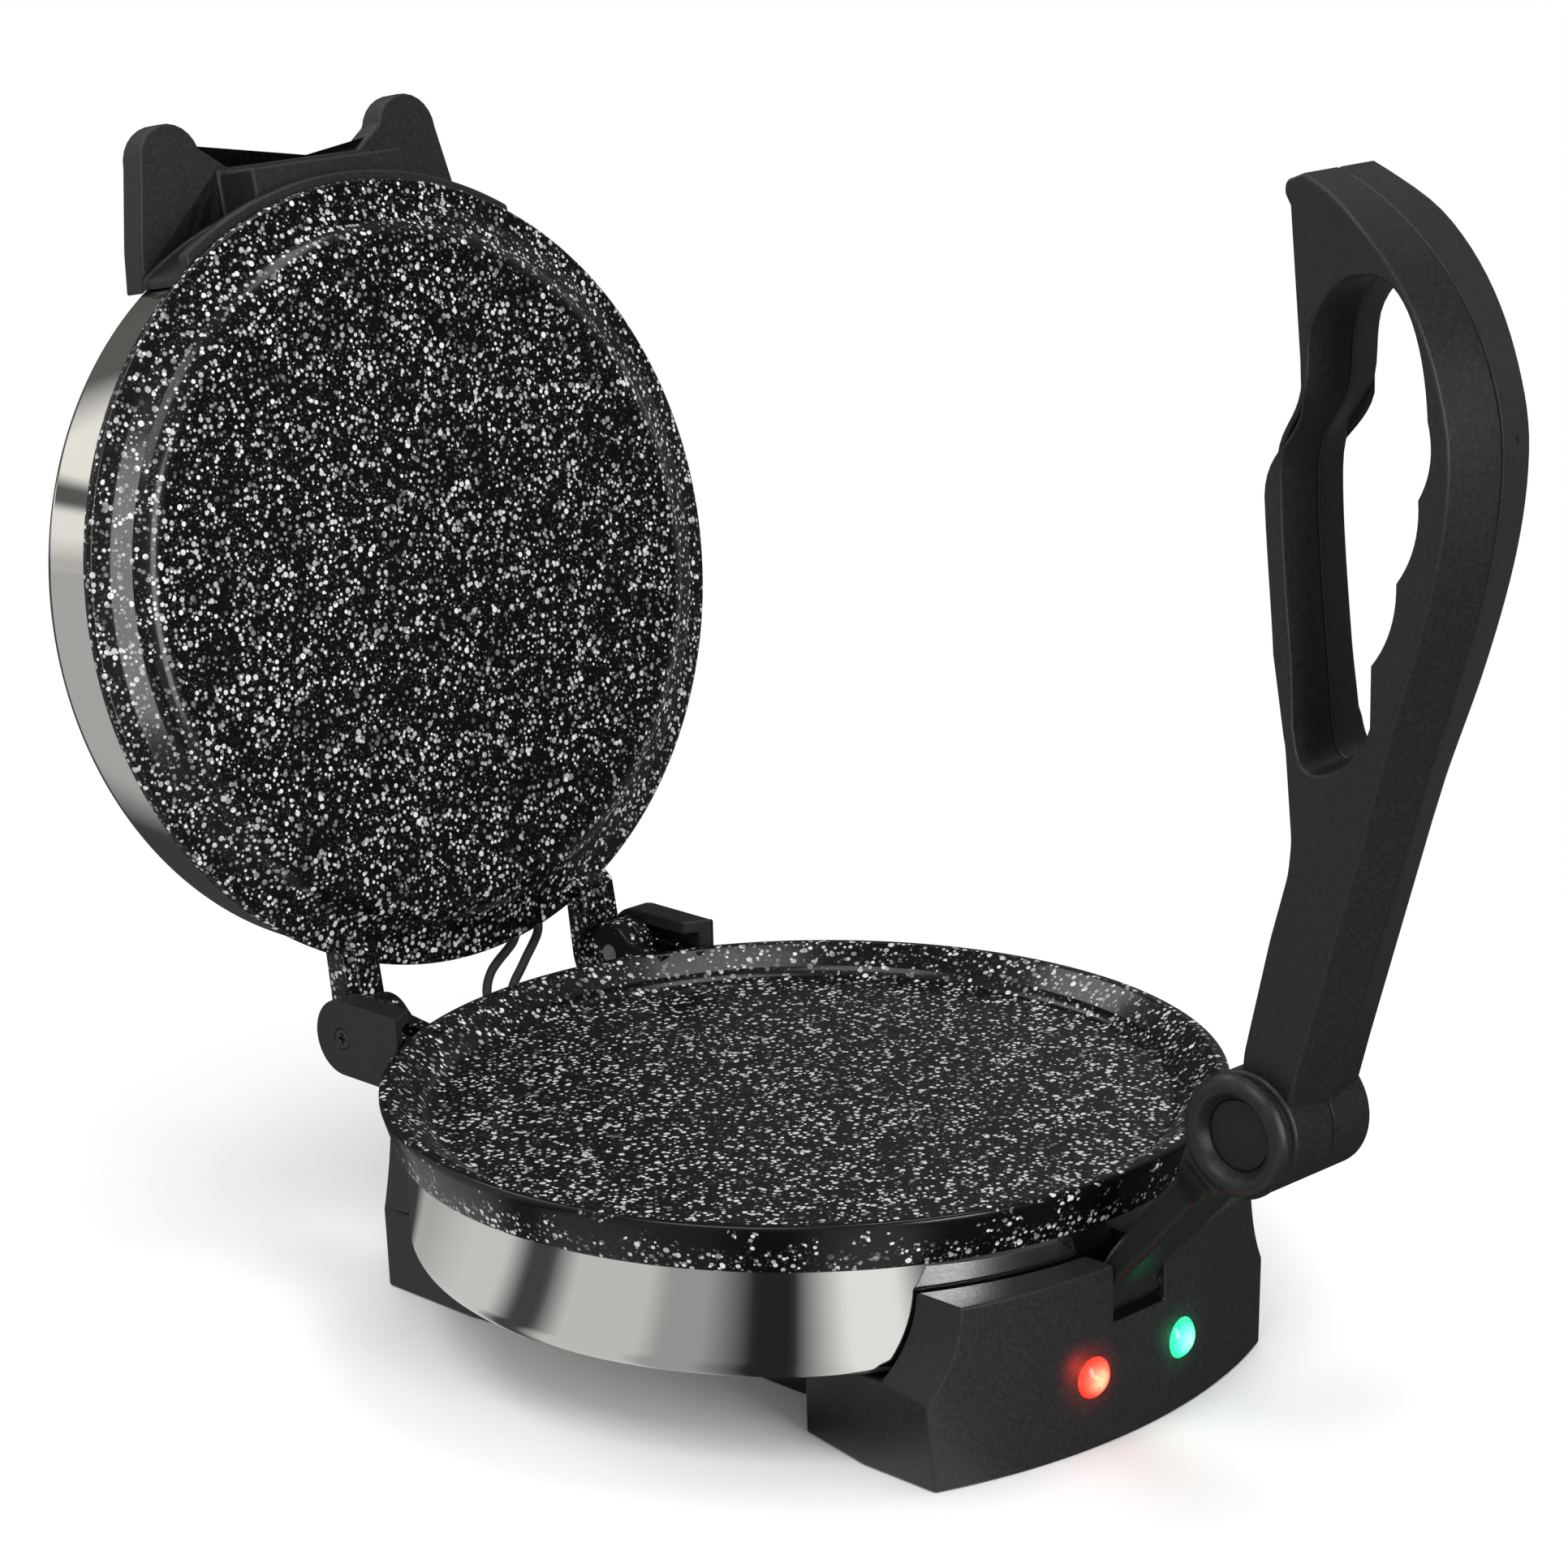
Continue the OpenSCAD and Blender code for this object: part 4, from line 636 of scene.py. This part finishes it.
def filled(loops, grid=0.0):
    """Triangles between an outer line and the holes in it, with inner points on a grid."""
    points, edges = [], []
    for loop in loops:
        first = len(points)
        points += [Vector(p) for p in loop]
        edges += [(first + i, first + (i + 1) % len(loop)) for i in range(len(loop))]
    if grid:
        border = list(points)
        us, vs = [p.x for p in border], [p.y for p in border]
        for i in range(int((max(us) - min(us)) / grid) + 1):
            for k in range(int((max(vs) - min(vs)) / grid) + 1):
                p = Vector((min(us) + grid * (i + 0.5 * (k % 2)), min(vs) + grid * k))
                if inside(p, loops[0]) and not any(inside(p, hole) for hole in loops[1:]):
                    if min((p - q).length for q in border) > grid * 0.6:
                        points.append(p)
    verts, _, faces, *_ = delaunay_2d_cdt(points, edges, [], 0, 1e-4)
    kept = []
    for face in faces:
        middle = sum((verts[i] for i in face), Vector((0, 0))) / len(face)
        if inside(middle, loops[0]) and not any(inside(middle, hole) for hole in loops[1:]):
            kept.append(tuple(face))
    return verts, kept


def shifted(line, share, d):
    """The line at a share of the half width, moved inwards by d."""
    return inset([(p[0] + share * shift[0], p[1] + share * shift[1]) for p, shift in line], d)


def half_shell(side):
    """One half from the seam out to its side face, which has the screws' bores on the right."""
    tag = "left" if side < 0 else "right"
    outer, opening = handle_outline(), handle_opening()
    bores = SCREW_BORES if side > 0 else []
    # Stations (X offset, share of the half width, inset): seam groove, wall, rounded rim
    stations = [(0.12, 0, 0.8), (0.35, 0, 0.35), (0.6, 0, 0.08), (1.1, 0, 0)]
    stations += [(0, share, 0) for share in (0.3, 0.55, 0.8)]
    stations += [(-RIM_EDGE * (1 - sin(t)), 1, RIM_EDGE * (1 - cos(t)))
                 for t in [radians(90 * k / 5) for k in range(6)]]
    verts, faces = [], []

    def ring(line, sign, a, b, d):
        moved = shifted(line, b + a / SEAM_HALF, sign * d)
        start = len(verts)
        verts.extend((side * (a + b * half_width(y, z)), y, z) for y, z in moved)
        return range(start, len(verts)), moved

    for line, sign in ((outer, 1), (opening, -1)):
        rows = [ring(line, sign, *station)[0] for station in stations]
        for low, high in zip(rows, rows[1:]):
            for k in range(len(low)):
                n = (k + 1) % len(low)
                faces.append((low[k], low[n], high[n], high[k]))
    for station, holes in ((stations[0], []), (stations[-1], bores)):
        share = station[1] + station[0] / SEAM_HALF
        loops = [shifted(outer, share, station[2]), shifted(opening, share, -station[2])]
        circles = [[(c[0] + r * cos(radians(15 * k)), c[1] + r * sin(radians(15 * k))) for k in range(24)]
                   for c, r, _ in holes]
        flat, triangles = filled(loops + circles, 0.0 if station is stations[0] else 3.5)
        start = len(verts)
        verts.extend((side * (station[0] + station[1] * half_width(p.x, p.y)), p.x, p.y) for p in flat)
        faces.extend(tuple(start + i for i in triangle) for triangle in triangles)
        for circle, (_, _, seat) in zip(circles, holes):
            start = len(verts)
            verts.extend((side * half_width(y, z), y, z) for y, z in circle)
            verts.extend((side * seat, y, z) for y, z in circle)
            faces.extend((start + k, start + (k + 1) % 24, start + 24 + (k + 1) % 24, start + 24 + k)
                         for k in range(24))
            faces.append(tuple(range(start + 24, start + 48)))
    place = [(x, PIVOT_Y + y, PIVOT_Z + z) for x, y, z in verts]
    shell = make("handle_shell_" + tag, place, faces, HANDLE, "handle", weighted=True, sharp=38)

    # Barrel round the pivot, half on each side of the seam
    bore_r = PIN_R + BORE_GAP
    line = [(bore_r, SEAM_GROOVE_R), (BARREL_R - 0.6, SEAM_GROOVE_R), (BARREL_R - 0.2, 0.3), (BARREL_R, 0.7),
            (BARREL_R, BARREL_HALF - BARREL_EDGE)]
    line += [(BARREL_R - BARREL_EDGE * (1 - cos(t)), BARREL_HALF - BARREL_EDGE * (1 - sin(t)))
             for t in [radians(90 * k / 6) for k in range(1, 7)]] + [(bore_r, BARREL_HALF)]
    barrel = turned("barrel_" + tag, line, side, HANDLE, "handle")
    for piece in (shell, barrel):
        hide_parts("handle_" + tag)


def turned(name, line, side, material, body, parts=96, sharp=32):
    """Ring turned round the handle's pivot from a closed line of (radius, x)."""
    angles = [2 * pi * k / parts for k in range(parts)]
    rings = [[(side * x, PIVOT_Y + r * cos(a), PIVOT_Z + r * sin(a)) for a in angles] for r, x in line]
    verts, faces = loft(rings + [rings[0]], caps=False)
    return make(name, verts, faces, material, body, weighted=True, sharp=sharp)


half_shell(-1)
half_shell(1)

# The screws sit in the right half. The middle one's hole is left closed, so its head lies deeper.
screws = frame["nodes"]["handle_screws"].data
bm = bmesh.new()
bm.from_mesh(screws)
for vert in bm.verts:
    above_pivot = vert.co.z / MM - PIVOT_Z
    if abs(above_pivot - MIDDLE_SCREW_Z) < SCREW_REACH:
        vert.co.x -= MIDDLE_SINK * MM
    elif above_pivot > TOP_SCREW_Z:
        vert.co.x -= TOP_SINK * MM
for face in bm.faces:
    face.smooth = False
screw_set = finish_piece("handle_screw_set", bm, FINISHES["black_screws"], "handle")
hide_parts("handle_screws")

# Link: bar with rounded edges that widens to a yoke, with a ring on its left cheek
ON_LINK = Matrix.Translation((0, LINK_Y, LINK_Z)) @ Matrix.Rotation(LINK_TILT, 4, "X")


def rounded_box(x0, x1, n0, n1, t, radius):
    """One ring of the bar: a rectangle in X and across the link, with round corners."""
    corners = rounded([(x0, n0, radius), (x1, n0, radius), (x1, n1, radius), (x0, n1, radius)], step=17)
    return [ON_LINK @ Vector((x, n, t)) for x, n in corners]


# Rings along the bar: place from the lower pivot, reach to the left and right, under and upper face, corner
bar = [rounded_box(-x0, x1, n0, n1, t, r) for t, x0, x1, n0, n1, r in (
    (-3.0, 9.4, 9.4, -1.6, 2.4, 1.0), (-1.5, 10, 10, -2.6, 3.6, 1.6), (2, 10, 10, -2.6, 5.2, 1.8),
    (4.5, 10, 10, -0.6, 6.4, 2.0), (8, 10, 10, 0.4, 7.8, 2.2), (14, 10, 10, 0.2, 8.6, 2.4),
    (24, 10, 10, -0.6, 8.8, 2.4), (46, 10, 10, -1.6, 8.4, 2.4),
    (51, 12, 11.6, -2.2, 8.0, 2.4), (56, 16, 14.6, -3.2, 7.4, 2.2), (60.5, 20, 18, -4.4, 6.6, 2.0),
    (63.5, 21.6, 19.6, -5.2, 6.0, 1.8), (64.6, 21.8, 19.8, -5.2, 6.0, 1.6))]
verts, faces = loft(bar)
link_bar = make("link_bar", verts, faces, LINK, "link", weighted=True, sharp=50)
cheeks = []
for tag, x0, x1, radius in (("left", -20.6, -CHEEK_X, 12.4), ("right", CHEEK_X, BOSS_X, 9.0)):
    polar = [(CHEEK_R, 232)] + [(radius, k) for k in range(236, 305, 8)] + [(CHEEK_R, 306)]
    outline = [(-5.4, CHEEK_FOOT)]
    outline += [(r * cos(radians(a)), LINK_LEN + r * sin(radians(a))) for r, a in polar]
    outline += [(6.2, CHEEK_FOOT)]
    cheeks.append(slab("link_cheek_" + tag, outline, x0, x1, LINK, "link", edge=0.9, place=ON_LINK))
ring_line = [(DISC_R, RING_BASE_X), (RING_R - 0.8, RING_BASE_X), (RING_R - 0.5, RING_BASE_X + 0.2),
             (RING_R - 0.2, RING_BASE_X + 0.9), (RING_R - 0.2, RING_FACE_X - 3.25),
             (RING_R + 0.1, RING_FACE_X - 3.05), (RING_R + 0.1, RING_FACE_X - 2.55),
             (RING_R - 0.5, RING_FACE_X - 1.35), (RING_R - 1.5, RING_FACE_X - 0.45),
             (RING_R - 2.7, RING_FACE_X), (RING_R - 3.9, RING_FACE_X - 0.05),
             (RING_R - 4.8, RING_FACE_X - 0.55),
             (RING_R - 5.7, RING_FACE_X - 1.65), (RING_R - 6.4, RING_FACE_X - 2.85),
             (DISC_R + 0.1, RING_FACE_X - 3.55), (DISC_R, RING_FACE_X - 3.85)]
link_ring = turned("link_ring", ring_line, -1, LINK, "link", parts=128, sharp=50)
boss_line = [(PIN_R, CHEEK_X), (BOSS_R, CHEEK_X), (BOSS_R, BOSS_X - 1.0), (BOSS_R - 0.3, BOSS_X - 0.3),
             (BOSS_R - 1.0, BOSS_X), (PIN_R, BOSS_X)]
boss = turned("link_boss", boss_line, 1, LINK, "link")
disc_face = RING_BASE_X + 2.2
disc_line = [(AXIS_R, RING_BASE_X + 0.2), (DISC_R, RING_BASE_X + 0.2), (DISC_R, disc_face - 0.7),
             (DISC_R - 0.3, disc_face - 0.3), (DISC_R - 1.1, disc_face - 0.15), (AXIS_R, disc_face)]
disc = turned("pivot_disc", disc_line, -1, DISC, "link")
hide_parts("pivot_cap")
pin_line = [(AXIS_R, -PIN_LOW), (PIN_R, -PIN_LOW), (PIN_R, PIN_HIGH), (AXIS_R, PIN_HIGH)]
pin = turned("handle_pin_rod", pin_line, 1, FINISHES["pin_steel"], "link", parts=48)
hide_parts("handle_pin")
for piece in [link_bar, link_ring, boss, *cheeks]:
    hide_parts("link")

# Mouldings whose CAD shape is right, with moulded edges
for name, node, width, material, body, slot in (
        ("stand_moulding", "stand", 0.8, STAND, "base", "stand_plastic"),
        ("catch_moulding", "catch_bracket", 1.0, CATCH, "lid", "catch_plastic"),
        ("cap_left_moulding", "hinge_cap_left", 0.6, TRIM, "base", "trim_plastic"),
        ("cap_right_moulding", "hinge_cap_right", 0.6, TRIM, "base", "trim_plastic")):
    softened(name, node, width, material, body)


# Leads: sleeved pair from the stand's top up into the lid
def tube(name, points, radius, material, parts=14):
    """Round lead along points. It rides no body, because it runs between two."""
    rings, last = [], len(points) - 1
    side = Vector((1, 0, 0))
    for i, p in enumerate(points):
        along = (Vector(points[min(i + 1, last)]) - Vector(points[max(i - 1, 0)])).normalized()
        side = (side - along * side.dot(along)).normalized()
        up = along.cross(side)
        rings.append([Vector(p) + radius * (cos(2 * pi * k / parts) * side + sin(2 * pi * k / parts) * up)
                      for k in range(parts)])
    verts, faces = loft(rings)
    return make(name, verts, faces, material, None)


bush_y, bush_z = BOWL_R + 1, RIM_TOP_Z + 3.3
for tag, base_x, lid_x, middle in (
        ("left", -1.0, 22.0, [(-1, -3.2, -13), (-0.5, 6.8, -6), (6, 12.8, 0.5), (19, 16.8, 6.5)]),
        ("right", 6.5, 31.0, [(6.5, -3.2, -13), (9, 6.8, -6), (18.5, 11.8, 0.5), (29, 16.8, 6.5)])):
    leave = OPENED @ Vector((lid_x, bush_y, bush_z))
    tucked = OPENED @ Vector((lid_x, bush_y - 8, bush_z))
    stops = [Vector((base_x, STAND_BUSH_Y, STAND_BUSH_TOP))]
    stops += [Vector((x, HINGE_Y + y, HINGE_Z + z)) for x, y, z in middle] + [leave]
    path = [Vector((base_x, STAND_BUSH_Y, STAND_BUSH_TOP - LEAD_HIDDEN)), stops[0]]
    for i in range(len(stops) - 1):
        before, after = stops[max(i - 1, 0)], stops[min(i + 2, len(stops) - 1)]
        a, d = stops[i], stops[i + 1]
        path += [Vector(p) for p in curve(a, a + (d - before) / 6, d - (after - a) / 6, d, 9)]
    lead = tube("lead_sleeve_" + tag, path + [tucked], LEAD_R, FINISHES["lead_sleeve"])
    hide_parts("lead_" + tag)
    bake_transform(lead)

# Finishes of the CAD nodes that stay
for part in frame["record"]["subparts"]:
    obj = frame["nodes"][part["node"]]
    for slot in obj.material_slots:
        slot.material = FINISHES[part["material_slot"]]


# Floor, light and camera, in metres
FLOOR_NEAR, FLOOR_FAR, FLOOR_HALF = 0.14, 0.5, 6.0
GLOW_AWAY, GLOW_SIZE, GLOW_ANGLE = 13.0, 0.002, 80.0


def azimuth_stripes(tree, coords, panels):
    parts = add(tree, "ShaderNodeSeparateXYZ", inputs={"Vector": coords})
    angle = maths(tree, "ARCTAN2", parts.outputs["Y"], parts.outputs["X"])
    return stripes(tree, maths(tree, "DEGREES", angle, 0.0), -180, 180, panels)


def backdrop():
    """Pale floor that turns to plain white far out, with the studio's panels for glossy faces."""
    mat, tree, shader = new_material("floor_white", (0.9, 0.9, 0.9), 0.6)
    coords = object_coords(tree)
    away = add(tree, "ShaderNodeVectorMath", {"operation": "LENGTH"}, {0: coords}).outputs["Value"]
    far = ramp(tree, away, FLOOR_NEAR, FLOOR_FAR, smooth=True)
    white = add(tree, "ShaderNodeEmission", inputs={"Color": (1, 1, 1, 1), "Strength": 1.0})
    shown = add(tree, "ShaderNodeMixShader",
                inputs={0: far, 1: shader.outputs["BSDF"], 2: white.outputs["Emission"]})
    # Panels round the object, which only glossy faces show
    tones = azimuth_stripes(tree, coords, FLOOR_PANELS)
    seen = add(tree, "ShaderNodeEmission", inputs={"Color": tones, "Strength": 1.0})
    path = add(tree, "ShaderNodeLightPath")
    glossy = add(tree, "ShaderNodeMixShader",
                 inputs={0: path.outputs["Is Glossy Ray"], 1: shown.outputs["Shader"],
                         2: seen.outputs["Emission"]})
    out = tree.nodes["Material Output"]
    tree.links.new(glossy.outputs["Shader"], out.inputs["Surface"])
    bm = bmesh.new()
    bmesh.ops.create_grid(bm, x_segments=8, y_segments=8, size=FLOOR_HALF)
    mesh = bpy.data.meshes.new("floor")
    bm.to_mesh(mesh)
    bm.free()
    mesh.materials.append(mat)
    floor = bpy.data.objects.new("floor", mesh)
    bpy.context.scene.collection.objects.link(floor)


def stripes(tree, value, low, high, panels):
    """Panels (middle, half width, tone) over a value from low to high, with soft edges between them."""
    tones = add(tree, "ShaderNodeValToRGB", inputs={"Fac": ramp(tree, value, low, high)})
    edges = [(middle + side * half, tone) for middle, half, tone in panels for side in (-1, 1)]
    elements = tones.color_ramp.elements
    while len(elements) > 1:
        elements.remove(elements[-1])
    for i, (place, tone) in enumerate(edges):
        share = (place - low) / (high - low)
        element = elements[0] if i == 0 else elements.new(share)
        element.position = share
        element.color = (tone, tone * 0.985, tone * 0.94, 1)
    return tones.outputs["Color"]


# Studio round the object as its polished metal shows it: softboxes and dark screens.
# Azimuths are in degrees, and heights are sines of the angle over the horizon.
FLOOR_PANELS = [(-174, 5, 0.6), (-160, 4, 0.36), (-142, 4, 0.02), (-122, 5, 0.9), (-91, 18, 0.06),
                (-44, 16, 0.05), (20, 35, 0.22), (89, 4, 0.05), (106, 5, 0.05), (120, 3, 0.45),
                (148, 6, 0.65), (164, 3, 0.06), (177, 3, 0.6)]
SKY_PANELS = [(-150, 30, 0.5), (-46, 14, 0.06), (2, 20, 0.4), (60, 10, 0.08), (90, 6, 0.12), (123, 17, 0.95),
              (170, 10, 0.5)]
HEIGHT_PANELS = [(-0.5, 0.5, 0.55), (0.1, 0.03, 0.95), (0.172, 0.018, 0.12), (0.31, 0.09, 1.0),
                 (0.8, 0.2, 0.55)]


def place_light(light, place, target):
    lamp = bpy.data.objects.new(light.name, light)
    lamp.location = place
    lamp.rotation_euler = (Vector(target) - Vector(place)).to_track_quat("-Z", "Y").to_euler()
    bpy.context.scene.collection.objects.link(lamp)


def area_light(name, place, target, size, power):
    light = bpy.data.lights.new(name, "AREA")
    light.shape, light.size, light.size_y = "RECTANGLE", size[0], size[1]
    light.energy = power
    place_light(light, place, target)


def studio():
    """Soft daylight for matt faces, the panels for glossy ones, white for the camera, and the lamps."""
    world = bpy.data.worlds.new("studio")
    bpy.context.scene.world = world
    world.use_nodes = True
    tree = world.node_tree
    tree.nodes.clear()
    path = add(tree, "ShaderNodeLightPath")
    plain = add(tree, "ShaderNodeBackground", inputs={"Color": (1, 1, 1, 1), "Strength": 0.85})
    white = add(tree, "ShaderNodeBackground", inputs={"Color": (1, 1, 1, 1), "Strength": 1.0})
    direction = add(tree, "ShaderNodeTexCoord").outputs["Generated"]
    parts = add(tree, "ShaderNodeSeparateXYZ", inputs={"Vector": direction})
    both = add(tree, "ShaderNodeMix", {"data_type": "RGBA", "blend_type": "MULTIPLY"}, {0: 1.0})
    tree.links.new(azimuth_stripes(tree, direction, SKY_PANELS), both.inputs[6])
    tree.links.new(stripes(tree, parts.outputs["Z"], -1, 1, HEIGHT_PANELS), both.inputs[7])
    glossy_sees = add(tree, "ShaderNodeBackground", inputs={"Color": both.outputs[2], "Strength": 1.0})
    first = add(tree, "ShaderNodeMixShader",
                inputs={0: path.outputs["Is Diffuse Ray"], 1: glossy_sees.outputs["Background"],
                        2: plain.outputs["Background"]})
    last = add(tree, "ShaderNodeMixShader",
               inputs={0: path.outputs["Is Camera Ray"], 1: first.outputs["Shader"],
                       2: white.outputs["Background"]})
    out = add(tree, "ShaderNodeOutputWorld")
    tree.links.new(last.outputs["Shader"], out.inputs["Surface"])
    centre = (0, 0, 0.1)
    area_light("key", (-0.8, -0.2, 1.4), centre, (0.8, 0.8), 8)
    area_light("front", (-0.24, -1.6, 0.55), (-0.05, 0.1, 0.2), (0.5, 1.1), 16)
    area_light("top", (0.35, -0.1, 1.5), centre, (0.7, 0.4), 4)
    area_light("back", (0.0, 1.2, 1.4), centre, (1.0, 0.4), 5)
    for side, colour, power in (("red", (1, 0.05, 0.02), 0.045), ("green", (0.03, 1, 0.35), 0.02)):
        glow = bpy.data.lights.new("glow_" + side, "SPOT")
        glow.energy, glow.color, glow.shadow_soft_size = power, colour, GLOW_SIZE
        glow.spot_size, glow.spot_blend = radians(GLOW_ANGLE), 1.0
        x, y, z = lens_centre(side)
        place_light(glow, (x * MM, (y - GLOW_AWAY) * MM, z * MM), (x * MM, y * MM, z * MM))


def camera():
    """The photograph's view: place and axes fitted to the plates, the lamps and the hinge arms."""
    data = bpy.data.cameras.new("camera")
    data.sensor_fit, data.sensor_width, data.lens = "HORIZONTAL", 36.0, 98.05
    right, up, back = (0.7058, -0.7081, -0.0215), (0.2074, 0.1775, 0.9620), (-0.6774, -0.6835, 0.2722)
    place = (-0.81139, -0.81314, 0.48247)
    cam = bpy.data.objects.new("camera", data)
    cam.matrix_world = Matrix([[right[i], up[i], back[i], place[i]] for i in range(3)] + [[0, 0, 0, 1]])
    bpy.context.scene.collection.objects.link(cam)
    bpy.context.scene.camera = cam


backdrop()
studio()
camera()
bpy.context.scene.view_settings.view_transform = "Standard"
